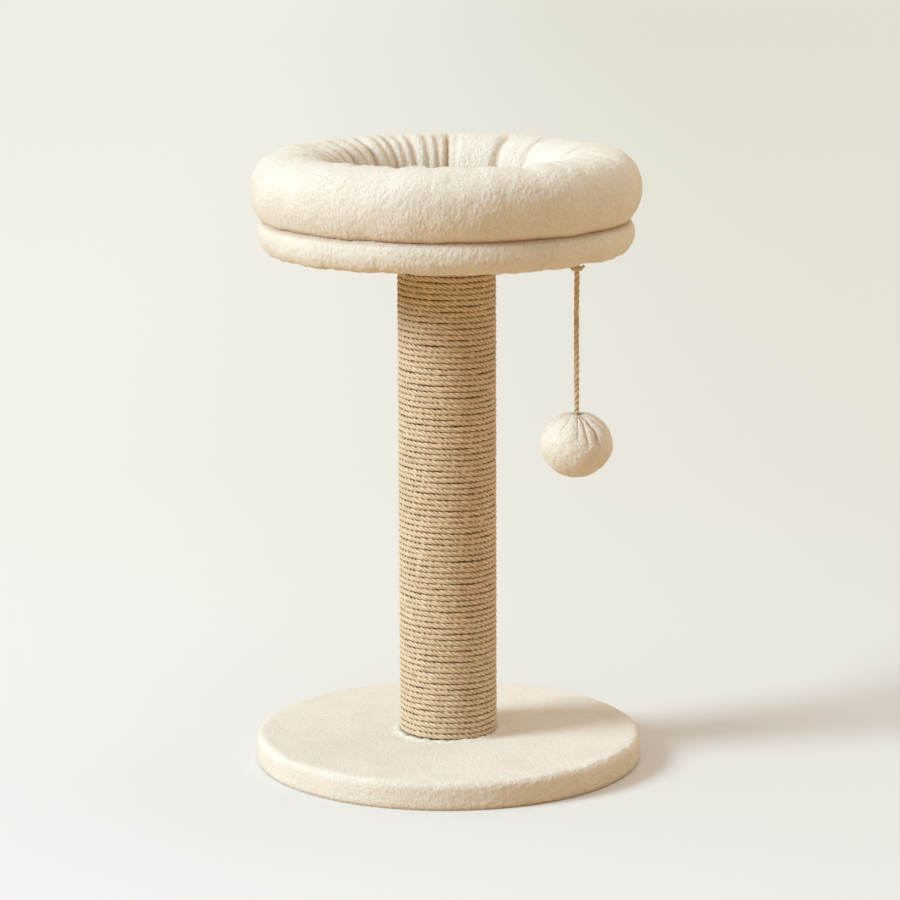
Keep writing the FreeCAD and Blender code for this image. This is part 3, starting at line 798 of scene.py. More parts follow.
# ---------------------------------------------------------------- operators
class SCENE_OT_post_studio(bpy.types.Operator):
    """Floor, light and camera"""

    bl_idname = "scratching_post.studio"
    bl_label = "Studio"

    def execute(self, context):
        settings = context.scene.post_studio
        near, bounce = list(settings.floor_colour), list(settings.bounce_colour)
        bm = bmesh.new()
        bmesh.ops.create_circle(bm, cap_ends=True, segments=64, radius=30)
        mesh = mesh_from(bm, "floor")
        floor = linked("floor", mesh)
        mesh.materials.append(material_of("background_paper", paper_floor_material, near, bounce))

        lamp = bpy.data.lights.new("key", "SUN")
        lamp.energy = settings.key_power
        lamp.angle = settings.key_softness
        lamp.color = list(settings.key_colour)
        key = linked("key", lamp)
        towards = Vector((
            -math.cos(settings.key_height) * math.cos(settings.key_bearing),
            -math.cos(settings.key_height) * math.sin(settings.key_bearing),
            math.sin(settings.key_height),
        ))
        key.rotation_euler = towards.to_track_quat("Z", "Y").to_euler()

        world = bpy.data.worlds.new("studio")
        context.scene.world = world
        world.use_nodes = True
        tree = world.node_tree
        tree.nodes.clear()
        # the fill is dim at the sides, brighter overhead, and brightest low at the back right
        heading = add_node(tree, "TexCoord").outputs["Generated"]
        overhead = self.glow(tree, heading, (0, 0, 1), 2)
        back_right = self.glow(tree, heading, (0.82, 0.50, 0.28), 5)
        light = list(settings.fill_colour)
        for tint, strength in ((settings.top_colour, overhead), (settings.right_colour, back_right)):
            tinted = add_node(
                tree, "VectorMath", {0: list(tint), "Scale": strength}, operation="SCALE"
            ).outputs[0]
            light = add_node(
                tree, "Mix", {0: 1.0, 6: light, 7: tinted}, data_type="RGBA", blend_type="ADD"
            ).outputs[2]
        fill = add_node(tree, "Background", {"Color": light}).outputs[0]
        horizon = add_node(tree, "Background", {"Color": linear("#E6E2D7")}).outputs[0]
        rays = add_node(tree, "LightPath")
        seen = rays.outputs["Is Camera Ray"]
        for kind in ("Is Glossy Ray", "Is Transmission Ray"):
            seen = add_node(tree, "Math", {0: seen, 1: rays.outputs[kind]}, operation="MAXIMUM").outputs[0]
        both = add_node(tree, "MixShader", {0: seen, 1: fill, 2: horizon}).outputs[0]
        add_node(tree, "OutputWorld", {"Surface": both})
        context.scene.view_settings.view_transform = "Standard"

        # the photograph's camera, fitted to the base, the post and the rim
        lens = bpy.data.cameras.new("camera")
        lens.sensor_width = 36
        lens.lens = 141.1
        lens.clip_start, lens.clip_end = 0.1, 100
        camera = linked("camera", lens)
        tilt_down, roll = math.radians(11.28), math.radians(-0.22)
        turned = Matrix.Rotation(math.pi / 2 - tilt_down, 4, "X") @ Matrix.Rotation(roll, 4, "Z")
        camera.matrix_world = Matrix.Translation((0.00275, -3.558, 1.035)) @ turned
        context.scene.camera = camera
        return {"FINISHED"}

    def glow(self, tree, heading, middle, sharpness):
        """Light that fades away round a heading."""
        near = add_node(tree, "VectorMath", {0: heading, 1: middle}, operation="DOT_PRODUCT").outputs["Value"]
        upper = add_node(tree, "Math", {0: near, 1: 0.0}, operation="MAXIMUM").outputs[0]
        return add_node(tree, "Math", {0: upper, 1: sharpness}, operation="POWER").outputs[0]


class SCENE_OT_post_toy_cord(bpy.types.Operator):
    """The cord that the ball hangs on, and its knots"""

    bl_idname = "scratching_post.toy_cord"
    bl_label = "Toy cord and knots"

    def execute(self, context):
        rope = context.scene.post_rope
        radius = rope.rope_diameter / 2
        # the route's points are the CAD cord's: it leaves its knot, strays 0.8 mm at 50 mm down, and ends
        # 143 mm down in the ball's mouth
        x, y, top = 0.128813, -0.110016, 0.5258
        points = [Vector((x, y, top)), Vector((x - 0.0008, y, top - 0.050)), Vector((x, y, top - 0.143))]
        route = smooth_route(points)
        mesh = rope_mesh("toy_cord_strands", route, radius * 0.96, rope.lay_length)
        cord = piece_from(mesh, "toy_cord_strands", sisal(route_length(route)), "cord", ["toy_cord"])

        # a stray fibre halfway down, as the photograph shows
        root, outward, along = Vector((x + 0.002, y, 0.470)), Vector((1, 0, -0.55)), Vector((0.3, 0, -1))
        strays = [(root, outward.normalized(), along.normalized())]
        rng = random.Random(5)
        for place in route[2:-2]:
            bearing = rng.uniform(0, 2 * math.pi)
            outward = Vector((math.cos(bearing), math.sin(bearing), 0))
            strays.append((place + outward * radius * 0.8, outward, Z_AXIS))
        stray_fibres("toy_cord_fibres", strays, "cord", 11, 0.004)

        self.collar(context)
        self.stopper("cord_anchor_rope", "cord_anchor", "stand", context)
        self.stopper("ball_knot_rope", "ball_knot", "ball", context)
        self.thread()
        return {"FINISHED"}

    def collar(self, context):
        """The knot under the bed: the rope's end goes once round its standing part and sticks out."""
        rope = context.scene.post_rope
        low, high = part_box("toy_knot")
        middle = (low + high) / 2
        parts = 12
        stem = [Vector((middle.x, middle.y, high.z - (high.z - low.z) * k / parts)) for k in range(parts + 1)]
        radius = rope.rope_diameter / 2 * 0.9
        mesh = rope_mesh("toy_knot_stem", stem, radius, rope.lay_length)
        piece_from(mesh, "toy_knot_stem", sisal(route_length(stem)), "hanger", ["toy_knot"])
        # millimetres from the knot's middle
        corners = [
            (-5.4, 0.6, -1.0), (-4.4, -3.0, -1.8), (0.0, -4.4, -2.4), (4.2, -3.0, -2.2), (4.4, 2.4, -1.0),
            (0.0, 4.2, -1.6), (-4.4, 2.0, -2.4), (-3.6, -3.6, -2.0), (1.6, -4.2, -1.2), (5.4, -2.4, -0.6),
            (6.8, -1.4, 1.4),
        ]
        wrap = smooth_route([middle + Vector(corner) * MM for corner in corners], samples=8)
        thin = 1.7 * MM
        mesh = rope_mesh("toy_knot_wrap", wrap, thin, rope.lay_length * thin / radius)
        piece_from(mesh, "toy_knot_wrap", sisal(route_length(wrap)), "hanger", ["toy_knot"])

    def stopper(self, name, node, body, context):
        """A stopper knot: one loop of rope drawn tight round its own standing part."""
        rope = context.scene.post_rope
        low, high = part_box(node)
        middle = (low + high) / 2
        reach = min(high.x - low.x, high.y - low.y) / 2
        radius = reach * 0.44
        wide = (reach - radius) * 0.9
        parts, rounds = 72, 1.5
        loops = []
        for k in range(parts + 1):
            turn = 2 * math.pi * k / parts * rounds
            loops.append(Vector((
                middle.x + wide * math.cos(turn),
                middle.y + wide * math.sin(turn),
                high.z - reach + wide * math.cos(turn / rounds),
            )))
        mesh = rope_mesh(name, loops, radius, rope.lay_length * radius / (rope.rope_diameter / 2))
        piece_from(mesh, name, sisal(route_length(loops)), body, [node])

    def thread(self):
        """The thread that draws the ball's mouth shut, twice round."""
        low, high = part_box("gathering_thread")
        middle = (low + high) / 2
        thick = (high.z - low.z) / 4
        reach = (high.x - low.x) / 2 - thick
        parts, rounds = 96, 2
        route = []
        for k in range(parts + 1):
            turn = 2 * math.pi * k / parts * rounds
            climb = thick * (2 * k / parts - 1)
            route.append(middle + Vector((reach * math.cos(turn), reach * math.sin(turn), climb)))
        mesh = rope_mesh("gathering_stitches", route, thick, thick * 6)
        tint = linear("#E6DAC2")
        material = material_of("sewing_thread", thread_material, tint)
        piece_from(mesh, "gathering_stitches", material, "ball", ["gathering_thread"])


class SCENE_OT_post_rope_winding(bpy.types.Operator):
    """The sisal rope, wound turn on turn from the base up to the bed board"""

    bl_idname = "scratching_post.rope_winding"
    bl_label = "Rope winding"

    def execute(self, context):
        rope = context.scene.post_rope
        low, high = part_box("rope_winding")
        radius = rope.rope_diameter / 2
        outside = (high.x - low.x) / 2
        winding_radius = outside - radius - 0.05 * MM
        start, end = low.z + radius * 0.9, high.z - radius * 0.9
        turns = (end - start) / rope.turn_spacing
        # the points of one turn are 1.5 mm apart
        steps = 200
        # noise_vector starts from the time of day unless it is given a seed
        noise.seed_set(4)
        route = []
        for k in range(int(turns * steps) + 1):
            turn = -2 * math.pi * k / steps
            height = start + (end - start) * k / (turns * steps)
            probe = Vector((math.cos(turn) * 1.7, math.sin(turn) * 1.7, height * 620))
            wander = noise.noise_vector(probe) * rope.wander
            wander += noise.noise_vector(probe * 2.9) * rope.wander * 0.5
            ease = min(1.0, k / steps, (turns * steps - k) / steps)
            reach = winding_radius + 0.5 * wander.x
            route.append(Vector((reach * math.cos(turn), reach * math.sin(turn), height + wander.z * ease)))
        names = ("rope_lower_turns", "rope_middle_turns", "rope_upper_turns")
        share_of = math.ceil(len(route) / len(names))
        # the rope is drawn a little thicker than it is, so that its turns meet
        full = radius * 1.06
        gone = 0.0
        for number, name in enumerate(names):
            stretch = route[number * share_of:(number + 1) * share_of + 1]
            first_turn = 2 * math.pi * gone / rope.lay_length
            mesh = rope_mesh(name, stretch, full, rope.lay_length, first_turn, "Z_UP")
            self.press(mesh, outside, radius)
            piece_from(mesh, name, sisal(route_length(stretch)), "stand", ["rope_winding"])
            gone += route_length(stretch)
        rng = random.Random(3)
        strays = []
        margin = 10
        for _ in range(rope.fibre_count):
            k = rng.randrange(margin, len(route) - margin)
            place = route[k]
            outward = Vector((place.x, place.y, 0)).normalized()
            along = (route[k + 1] - place).normalized()
            strays.append((place + outward * radius * 0.85, outward, along))
        stray_fibres("rope_fibres", strays, "stand", 7, 0.005)
        return {"FINISHED"}

    def press(self, mesh, outside, radius):
        """Flattens the turns a little, as they are when drawn tight, and paints shade between them.

        Depths are in radii of the rope, in from the winding's outside.
        """
        # the slope at the outside, how fast it eases off, the depth that the rope's middle comes to, and the
        # slope past that
        first, easing, half_way, beyond = 0.74, 0.35, 0.39, 1.5
        deepest, edge_of_gap = 2.0, 0.12
        crest = mesh.attributes["crest"].data
        for vertex, painted_light in zip(mesh.vertices, crest):
            place = vertex.co
            out = radial(place)
            deep = (outside - out) / radius
            if 0 < deep < 1:
                pressed = deep * (first - easing * deep)
            elif deep >= 1:
                pressed = half_way + (deep - 1) * beyond
            else:
                pressed = deep
            place.xy *= (outside - min(pressed, deepest) * radius) / out
            painted_light.value *= clamped((half_way - pressed) / edge_of_gap)


class SCENE_OT_post_base_cover(bpy.types.Operator):
    """Plush over the round base board, turned under it"""

    bl_idname = "scratching_post.base_cover"
    bl_label = "Base cover"

    def execute(self, context):
        _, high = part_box("base_cover")
        board_low, board_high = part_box("base_board")
        edge, top = high.x, high.z
        board_edge = board_high.x + 0.4 * MM
        board_top, hem = board_high.z + 0.3 * MM, board_low.z - 0.3 * MM
        bore = 5 * MM
        hem_edge = edge - 45 * MM
        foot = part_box("rope_winding")[1].x
        under_foot, past_foot = foot - 6 * MM, foot + 12 * MM
        finest, fine, even, coarse = 3 * MM, 4.2 * MM, 8 * MM, 14 * MM
        upper, lower = 7 * MM, 4 * MM
        outline = (
            spaced_line((bore, top), (under_foot, top), coarse)
            + spaced_line((under_foot, top), (past_foot, top), finest)
            + spaced_line((past_foot, top), (edge - upper, top), even)
            + spaced_arc((edge - upper, top - upper), upper, upper, 90, 0, fine)
            + spaced_line((edge, top - upper), (edge, lower), fine)
            + spaced_arc((edge - lower, lower), lower, lower, 0, -90, fine)
            + spaced_line((edge - lower, 0), (hem_edge, 0), coarse)
            + spaced_line((hem_edge, 0), (hem_edge, hem), coarse)
            + spaced_line((hem_edge, hem), (board_edge, hem), coarse)
            + spaced_line((board_edge, hem), (board_edge, board_top), coarse)
            + spaced_line((board_edge, board_top), (bore, board_top), coarse)
            + [(bore, board_top)]
        )
        mesh = turned_mesh("base_plush", outline, 220, one_sheet=True)
        nap = self.rumple(mesh, top, edge)
        mesh = with_pile(mesh, 2, 1.0, nap)
        # the plush under the board is pressed flat on the floor
        pressed, flat = 1.5 * MM, 0.3 * MM
        for vertex in mesh.vertices:
            if vertex.co.z < pressed:
                vertex.co.z = max(0.0, min(vertex.co.z, flat))
        cover = piece_from(mesh, "base_plush", plush(), "stand", ["base_cover"])
        return {"FINISHED"}

    def rumple(self, mesh, top, edge):
        """Long shallow waves where the plush lies on the board, an uneven ridge at the rim and at the post.

        Returns how thick the nap is at each vertex.
        """
        post_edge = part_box("rope_winding")[1].x
        wave_height, ridge_height, collar_height, clump_height = 0.7 * MM, 1.2 * MM, 3.2 * MM, 1.6 * MM
        nap = []
        for vertex in mesh.vertices:
            place = vertex.co
            out = radial(place)
            # most at the front right
            ruffled = max(0.0, (place.x - place.y) / max(out, MM))
            near_edge = clamped((out - edge + 26 * MM) / (10 * MM))
            nap.append(min(1.0, 0.45 + 0.4 * ruffled * near_edge))
            if place.z < top - 4 * MM:
                continue
            waves = noise.noise(Vector((place.x * 7, place.y * 20, 3.0)))
            ridge = bell(out - edge + 9 * MM, 6 * MM)
            uneven = max(0.0, 0.5 + noise.noise(Vector((place.x * 30, place.y * 30, 8.0))))
            collar = bell(out - post_edge - 1.5 * MM, 4 * MM)
            wavy = 0.8 + 0.8 * noise.noise(Vector((place.x, place.y, 0)) * 110)
            clumps = noise.noise(Vector((place.x * 130, place.y * 130, 2.0)))
            vertex.co.z += wave_height * waves + ridge_height * ridge * uneven + collar_height * collar * wavy
            vertex.co.z += clump_height * ridge * clumps * ruffled
        return nap


class SCENE_OT_post_bed_cover(bpy.types.Operator):
    """Plush over the padded edge of the bed board, drawn under it"""

    bl_idname = "scratching_post.bed_cover"
    bl_label = "Bed board cover"

    def execute(self, context):
        low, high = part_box("bed_cover")
        board_low, board_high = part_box("bed_board")
        edge, bottom, top = high.x, low.z, high.z
        middle, tall = (top + bottom) / 2, (top - bottom) / 2
        board_edge = board_high.x + 0.4 * MM
        over, under = board_high.z + 0.3 * MM, board_low.z - 0.3 * MM
        access, opening = 15 * MM, 30 * MM
        fine, coarse = 4.6 * MM, 16 * MM
        lower_in, upper_in = 16 * MM, 11.5 * MM
        outline = (
            spaced_line((opening, bottom), (edge - lower_in, bottom), coarse)
            + spaced_arc((edge - lower_in, middle), lower_in, tall, -90, 0, fine)
            + spaced_arc((edge - upper_in, middle), upper_in, tall, 0, 90, fine)
            + spaced_line((edge - upper_in, top), (access, top), coarse)
            + spaced_line((access, top), (access, over), coarse)
            + spaced_line((access, over), (board_edge, over), 2 * coarse)
            + spaced_line((board_edge, over), (board_edge, under), coarse)
            + spaced_line((board_edge, under), (opening, under), 2 * coarse)
            + [(opening, under)]
        )
        mesh = turned_mesh("bed_plush", outline, 240)
        self.pucker(mesh, edge, top)
        # painted shade in the fold under the bolster, on the cover's outside
        mark(mesh, "tucked", [
            0.6 * max(0.0, 1 - abs(v.co.z - top + 2 * MM) / (3 * MM)) if radial(v.co) > edge - 12 * MM else 0.0
            for v in mesh.vertices
        ])
        sewn = [v.index for v in mesh.vertices if radial(v.co) < edge - 17 * MM or v.co.z > top - 2 * MM]
        puff_up(mesh, sewn, cap=2 * MM)
        mesh = with_pile(mesh, 2, 1.1)
        for vertex in mesh.vertices:
            vertex.co.z = min(max(vertex.co.z, bottom - 4 * MM), top - 0.1 * MM)
        cover = piece_from(mesh, "bed_plush", plush(), "stand", ["bed_cover", "bed_padding"])
        return {"FINISHED"}

    def pucker(self, mesh, edge, top):
        """The plush sags a little under the board's edge, and puckers where it is drawn under."""
        knot_low, knot_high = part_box("toy_knot")
        toy = (knot_low + knot_high) / 2
        slack, sag, tuck_depth, ripple = 60 * MM, 3.2 * MM, 2.2 * MM, 1.6 * MM
        for vertex in mesh.vertices:
            place = vertex.co
            out = radial(place)
            if out < edge - slack:
                continue
            outward = Vector((place.x, place.y, 0)).normalized()
            hangs = clamped((out - edge + slack) / (35 * MM)) * clamped((top - 14 * MM - place.z) / (14 * MM))
            # the knot holds the plush up
            hangs *= 1 - bell(radial(place - toy), 14 * MM)
            uneven = 1 + 0.35 * noise.noise(outward * 6) + 0.3 * noise.noise(outward * 17)
            vertex.co.z -= sag * hangs * uneven
            tuck = noise.noise(outward * 11) + 0.5 * noise.noise(outward * 24)
            low_part = clamped((top - 12 * MM - place.z) / (14 * MM))
            vertex.co -= outward * tuck_depth * low_part * max(0.0, tuck)
            vertex.co.z += ripple * low_part * noise.noise(outward * 23 + Z_AXIS)


class SCENE_OT_post_bolster(bpy.types.Operator):
    """The nest's stuffed plush rim, gathered inside"""

    bl_idname = "scratching_post.bolster"
    bl_label = "Bolster"

    def execute(self, context):
        low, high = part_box("bolster_cover")
        half_width, widest = 43.35 * MM, 30.2 * MM
        centre = high.x - half_width
        middle = low.z + widest - 0.3 * MM
        tall = high.z - middle
        around, fullness = 46, 0.9
        outline = []
        for k in range(around):
            turn = 2 * math.pi * (k - around * 0.3) / around
            across = math.copysign(abs(math.cos(turn)) ** fullness, math.cos(turn))
            up = math.copysign(abs(math.sin(turn)) ** fullness, math.sin(turn))
            outline.append((centre + half_width * across, max(low.z, middle + tall * up)))
        mesh = turned_mesh("bolster_plush", outline, 290)
        self.gather(mesh, centre, middle, low.z, context)
        sewn = [v.index for v in mesh.vertices if v.co.z < low.z + 3 * MM]
        puff_up(mesh, sewn, cap=3 * MM)
        mesh = with_pile(mesh, 2)
        # it rests on the bed, whose edge falls away in a quarter of an ellipse, and laps over that by 9 mm
        _, bed_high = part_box("bed_cover")
        bed_in, bed_tall, lap = 11.5 * MM, 15.5 * MM, 9 * MM
        for vertex in mesh.vertices:
            past = clamped((radial(vertex.co) - bed_high.x + bed_in) / bed_in)
            drop = bed_tall * (1 - math.sqrt(1 - past ** 2))
            vertex.co.z = max(vertex.co.z, low.z - 0.2 * MM - min(drop, lap))
        bolster = piece_from(mesh, "bolster_plush", plush(), "nest", ["bolster_cover", "bolster_filling"])
        return {"FINISHED"}

    def gather(self, mesh, centre, middle, bottom, context):
        """Creases that run up the inside of the rim, a gently uneven crest, and a slack lower edge, with painted
        shade in the creases and along the lower edge.
        """
        nest = context.scene.post_nest
        # bearings are in degrees from +Y, positive to the right, with strengths; these creases show in the
        # photograph
        far = [
            (-74, 0.5), (-67, 0.8), (-60, 0.6), (-52, 1.0), (-45, 0.5), (-38, 0.9), (-31, 0.6), (-26, 1.0),
            (-21, 0.7), (-16, 0.9), (-9, 0.6), (-4, 0.8), (0.5, 1.2), (4, 0.5), (26, 1.0), (43, 0.4), (75, 0.5),
        ]
        rng = random.Random(8)
        gap = 180 / (nest.near_gathers + 1)
        creases = far + [
            (92 + gap * (k + rng.uniform(-0.3, 0.3)), rng.uniform(0.5, 1.0)) for k in range(nest.near_gathers + 1)
        ]
        # where a crease pulls the near crest down: its bearing, and its depth and half width in millimetres
        dips = [
            (151, 3.0, 9), (106, 4.2, 9), (128, 1.0, 8), (140, 1.0, 6), (170, 1.2, 7), (184, 0.8, 6), (198, 1.7, 8),
            (216, 1.4, 7), (236, 1.8, 8),
        ]
        sag = 3.0 * MM
        tucked = []
        for vertex in mesh.vertices:
            place = vertex.co
            out = radial(place)
            outward = Vector((place.x, place.y, 0)) / out
            bearing = math.degrees(math.atan2(place.x, place.y))
            normal = (place - outward * centre - Z_AXIS * middle).normalized()
            lift = noise.noise(outward * 3.1 + Vector((0, 0, 4))) + 0.5 * noise.noise(outward * 7.7)
            move = 1.2 * MM * lift + 0.3 * MM
            move += 0.8 * MM * noise.noise(place / (17 * MM))
            crown = max(0.0, normal.z) ** 2
            for dip, depth, wide in dips:
                aside = math.radians(degrees_apart(bearing, dip)) * centre
                move -= depth * MM * bell(aside, wide * MM) * crown
            inside = clamped((centre + 1 * MM - out) / (11 * MM))
            crease_shade = 0.0
            if inside:
                for crease, strength in creases:
                    aside = math.radians(degrees_apart(bearing, crease)) * out
                    folded = math.exp(-abs(aside) / nest.gather_width)
                    move -= nest.gather_depth * strength * folded * inside
                    crease_shade = max(crease_shade, strength * folded ** 2 * inside)
            outside = clamped((out - centre - 14 * MM) / (14 * MM))
            hangs = outside * clamped((bottom + 17 * MM - place.z) / (14 * MM))
            seam_shade = max(0.0, 1 - (place.z - bottom) / (6 * MM)) * outside
            # painted shade: darker in the creases and along the seam at the lower edge
            tucked.append(min(1.0, max(0.75 * crease_shade, seam_shade ** 2)))
            vertex.co += normal * move - Z_AXIS * sag * hangs
        mark(mesh, "tucked", tucked)


class SCENE_OT_post_nest_floor(bpy.types.Operator):
    """The nest's quilted floor"""

    bl_idname = "scratching_post.nest_floor"
    bl_label = "Nest floor"

    def execute(self, context):
        nest = context.scene.post_nest
        low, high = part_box("nest_floor")
        thick = high.z - low.z
        bm = bmesh.new()
        bmesh.ops.create_circle(bm, cap_ends=True, segments=96, radius=high.x * 0.997)
        bmesh.ops.translate(bm, verts=bm.verts, vec=(0, 0, low.z))
        middle_face = bm.faces[:]
        rings = 24
        for _ in range(rings):
            bmesh.ops.inset_region(bm, faces=middle_face, thickness=high.x / (rings + 1), use_even_offset=True)
        raised = bmesh.ops.extrude_face_region(bm, geom=bm.faces[:])
        lifted = [e for e in raised["geom"] if isinstance(e, bmesh.types.BMVert)]
        # the seams cross in squares that stand on their corners; the cloth puffs up between them
        across = nest.quilt_size * math.sqrt(2)
        at_seam, puffs = 0.35, 0.6
        for vertex in lifted:
            first = math.sin(math.pi * (vertex.co.x + vertex.co.y) / across)
            second = math.sin(math.pi * (vertex.co.x - vertex.co.y) / across)
            vertex.co.z += thick * (at_seam + puffs * math.sqrt(abs(first * second)))
        bmesh.ops.recalc_face_normals(bm, faces=bm.faces)
        mesh = mesh_from(bm, "quilted_floor")
        cloth = material_of("quilted_cotton", quilted_material, linear("#E9DFCB"))
        floor = piece_from(mesh, "quilted_floor", cloth, "nest", ["nest_floor"])
        return {"FINISHED"}


class SCENE_OT_post_cushion(bpy.types.Operator):
    """The loose cushion in the nest"""

    bl_idname = "scratching_post.cushion"
    bl_label = "Cushion"

    def execute(self, context):
        low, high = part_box("cushion_cover")
        edge, seam_height = high.x - 1.5 * MM, 9 * MM
        seam = low.z + seam_height
        crown = high.z - seam - 1.5 * MM
        under, turned_in = 0.5 * MM, 19.3 * MM
        upper = [
            (edge * math.sin(math.radians(a)), seam + crown * (1 - math.sin(math.radians(a)) ** 4) ** 0.75)
            for a in [*range(90, 4, -5), 2.5, 1]
        ]
        lower = [
            (
                edge - turned_in * (1 - math.cos(math.radians(a))),
                seam - (seam_height - under) * math.sin(math.radians(a)),
            )
            for a in range(90, 17, -18)
        ]
        underside = [(reach * MM, low.z + under) for reach in (5, 25, 50, 75)]
        mesh = turned_mesh("cushion_plush", underside + lower + upper, 120, closed=False, one_sheet=True)
        self.crease(mesh, seam, edge)
        sewn = [v.index for v in mesh.vertices if abs(v.co.z - seam) < 1 * MM or v.co.z < low.z + 1 * MM]
        puff_up(mesh, sewn, cap=1.5 * MM)
        mesh = with_pile(mesh, 2, 0.8)
        close_holes(mesh)
        for vertex in mesh.vertices:
            vertex.co.z = min(max(vertex.co.z, low.z + 0.2 * MM), high.z)
        cushion = piece_from(
            mesh, "cushion_plush", plush(), "cushion", ["cushion_cover", "cushion_filling"]
        )
        return {"FINISHED"}

    def crease(self, mesh, seam, edge):
        """Small puckers that run in from the seam."""
        for vertex in mesh.vertices:
            place = vertex.co
            out = radial(place)
            near_seam = (out / edge - 0.6) / 0.4
            if near_seam < 0:
                continue
            around = Vector((place.x, place.y, 0)) / out
            tuck = 0.8 * MM * noise.noise(around * 9)
            vertex.co.z += tuck * near_seam * (1 if place.z > seam else -0.3)


class SCENE_OT_post_ball(bpy.types.Operator):
    """The plush ball, gathered round the cord"""

    bl_idname = "scratching_post.ball"
    bl_label = "Ball"

    def execute(self, context):
        low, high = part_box("ball_cover")
        middle = (low + high) / 2
        reach, tall = (high.x - low.x) / 2 + 1.2 * MM, (high.z - low.z) / 2 + 0.1 * MM
        bm = bmesh.new()
        bmesh.ops.create_uvsphere(bm, u_segments=300, v_segments=140, radius=1)
        self.comb(bm, reach, context)
        self.gather(bm, middle, reach, tall, context)
        top = min(bm.verts, key=lambda v: abs(v.co.x - middle.x) + abs(v.co.y - middle.y) - v.co.z)
        bmesh.ops.delete(bm, geom=[top], context="VERTS")
        rim = [e for e in bm.edges if e.is_boundary]
        inner = bmesh.ops.extrude_edge_only(bm, edges=rim)
        drawn = [v for v in inner["geom"] if isinstance(v, bmesh.types.BMVert)]
        bmesh.ops.translate(bm, verts=drawn, vec=(0, 0, -2 * MM))
        mesh = with_pile(mesh_from(bm, "ball_plush"), 0, 0.55)
        close_holes(mesh)
        ball = piece_from(mesh, "ball_plush", plush(), "ball", ["ball_cover", "ball_filling"])
        return {"FINISHED"}

    def comb(self, bm, reach, context):
        """The map of the pile, which lies downwards."""
        settings = context.scene.post_plush
        lie = bm.loops.layers.uv.new("pile")
        for face in bm.faces:
            centre = face.calc_center_median()
            bearing = math.atan2(centre.y, centre.x)
            for loop in face.loops:
                place = loop.vert.co
                # the poles have no angle of their own
                turn = turn_near(place, bearing) if radial(place) > 1e-6 else bearing
                along = math.acos(max(-1.0, min(1.0, place.z)))
                loop[lie].uv = (turn * reach / settings.clump_width, along * reach / settings.clump_length)

    def gather(self, bm, middle, reach, tall, context):
        """A slightly slack ball, with uneven gathers that run down from the mouth and painted shade in the gathers.
        """
        depth, crease_width = context.scene.post_toy.gather_depth, 2.2 * MM
        tucked = bm.verts.layers.float.new("tucked")
        # each gather's bearing in degrees from -Y, positive to the right, its strength, and how far down it
        # fades; the first five show in the photograph
        folds = [(2, 0.5, 0.1), (17, 0.8, 0.0), (34, 1.4, -0.05), (54, 0.6, 0.2), (-29, 0.45, 0.3)]
        rng = random.Random(21)
        folds += [
            (80 + 26 * k + rng.uniform(-6, 6), rng.uniform(0.5, 1.1), rng.uniform(-0.1, 0.4)) for k in range(9)
        ]
        for vertex in bm.verts:
            place = vertex.co.copy()
            bearing = math.degrees(math.atan2(place.x, -place.y))
            out = radial(place)
            size = Vector((place.x * reach, place.y * reach, place.z * tall))
            size *= 0.985 + 0.03 * noise.noise(place * 1.9 + Vector((5, 0, 0)))
            size += place * 0.5 * MM * noise.noise(place * 4)
            wavering = 5 * noise.noise(place * 3 + Vector((0, 9, 0)))
            dip = 0.0
            for fold, strength, end in folds:
                aside = math.radians(degrees_apart(bearing + wavering, fold)) * max(out, 0.15) * reach
                if abs(aside) > 8 * MM:
                    continue
                fades = clamped((place.z - end) / 0.35) * min(1.0, out / 0.45)
                dip += strength * fades * math.exp(-abs(aside) / crease_width)
            size -= place.normalized() * depth * dip
            # painted shade in the gathers
            vertex[tucked] = min(0.5, 0.25 * dip)
            if place.z > 0:
                # the mouth is drawn in round the cord
                size.z -= 4 * MM * bell(out * reach, 5 * MM)
            vertex.co = middle + size


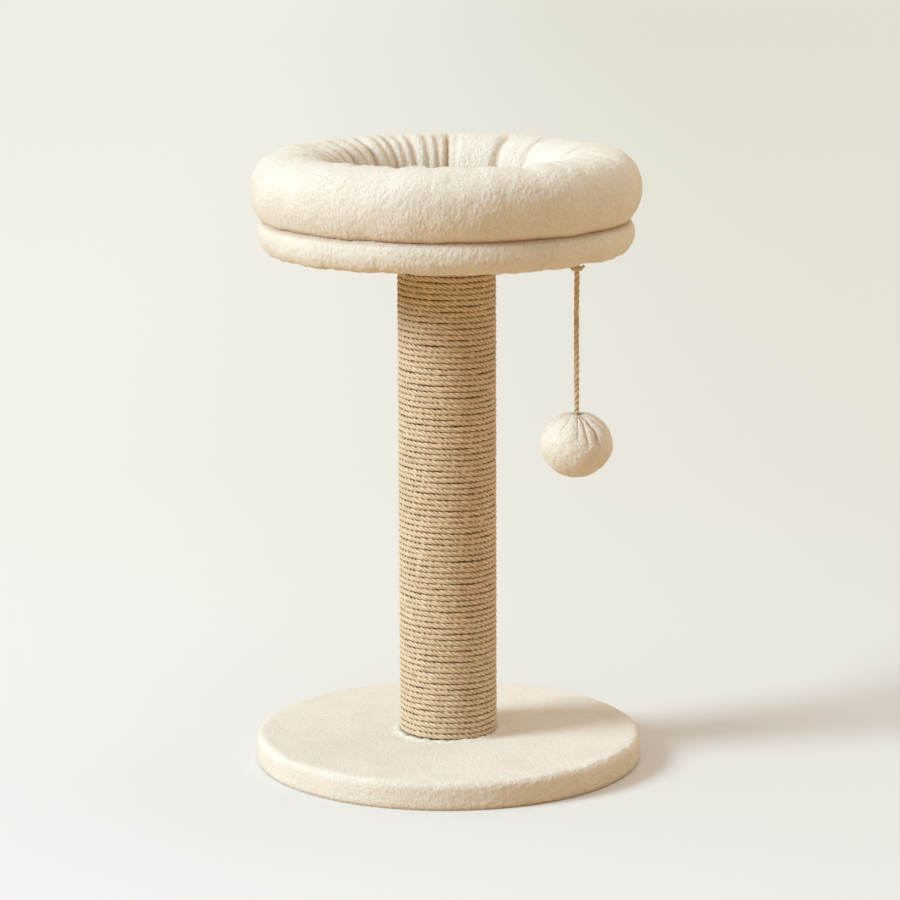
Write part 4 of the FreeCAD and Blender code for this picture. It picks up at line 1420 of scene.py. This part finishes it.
class SCENE_OT_post_hardware(bpy.types.Operator):
    """Finishes of the boards, the tube, the bolts and the staples"""

    bl_idname = "scratching_post.hardware"
    bl_label = "Boards and fixings"

    def execute(self, context):
        tape = linear("#E4DBC8")
        finishes = {
            "base_board": ("raw_chipboard", chipboard_material),
            "bed_board": ("raw_chipboard", chipboard_material),
            "post_plugs": ("raw_chipboard", chipboard_material),
            "post_tube": ("wound_kraft_paper", kraft_paper_material),
            "base_staples": ("zinc_plated_steel", zinc_material),
            "bed_staples": ("zinc_plated_steel", zinc_material),
            "plug_staples": ("zinc_plated_steel", zinc_material),
            "rope_end_staples": ("zinc_plated_steel", zinc_material),
            "post_bolts": ("zinc_plated_steel", zinc_material),
            "post_washers": ("zinc_plated_steel", zinc_material),
            "tee_nuts": ("zinc_plated_steel", zinc_material),
            "hook_patches": ("hook_tape", hook_tape_material, tape),
            "loop_patches": ("loop_tape", hook_tape_material, tape),
        }
        for node, (name, make, *values) in finishes.items():
            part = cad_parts[node]
            part.data.materials.clear()
            part.data.materials.append(material_of(name, make, *values))
        return {"FINISHED"}


class VIEW3D_PT_scratching_post(bpy.types.Panel):
    """Lists the pieces of the scratching post"""

    bl_idname = "VIEW3D_PT_scratching_post"
    bl_label = "Scratching post"
    bl_space_type = "VIEW_3D"
    bl_region_type = "UI"
    bl_category = "Scratching post"

    def draw(self, context):
        scene = context.scene
        for settings in (scene.post_studio, scene.post_plush, scene.post_rope, scene.post_nest, scene.post_toy):
            column = self.layout.column()
            for name in settings.__annotations__:
                column.prop(settings, name)
        for operator in OPERATORS:
            self.layout.operator(operator.bl_idname)


SETTINGS = {
    "post_studio": StudioSettings,
    "post_plush": PlushSettings,
    "post_rope": RopeSettings,
    "post_nest": NestSettings,
    "post_toy": ToySettings,
}
OPERATORS = (
    SCENE_OT_post_studio,
    SCENE_OT_post_toy_cord,
    SCENE_OT_post_rope_winding,
    SCENE_OT_post_base_cover,
    SCENE_OT_post_bed_cover,
    SCENE_OT_post_bolster,
    SCENE_OT_post_nest_floor,
    SCENE_OT_post_cushion,
    SCENE_OT_post_ball,
    SCENE_OT_post_hardware,
)


def register():
    for group in SETTINGS.values():
        bpy.utils.register_class(group)
    for operator in OPERATORS:
        bpy.utils.register_class(operator)
    bpy.utils.register_class(VIEW3D_PT_scratching_post)
    for name, group in SETTINGS.items():
        setattr(bpy.types.Scene, name, PointerProperty(type=group))


def unregister():
    for name in SETTINGS:
        delattr(bpy.types.Scene, name)
    bpy.utils.unregister_class(VIEW3D_PT_scratching_post)
    for operator in reversed(OPERATORS):
        bpy.utils.unregister_class(operator)
    for group in reversed(list(SETTINGS.values())):
        bpy.utils.unregister_class(group)


def main():
    register()
    post = bpy.ops.scratching_post
    post.studio()
    post.toy_cord()
    post.rope_winding()
    post.base_cover()
    post.bed_cover()
    post.bolster()
    post.nest_floor()
    post.cushion()
    post.ball()
    post.hardware()


if __name__ == "__main__":
    main()
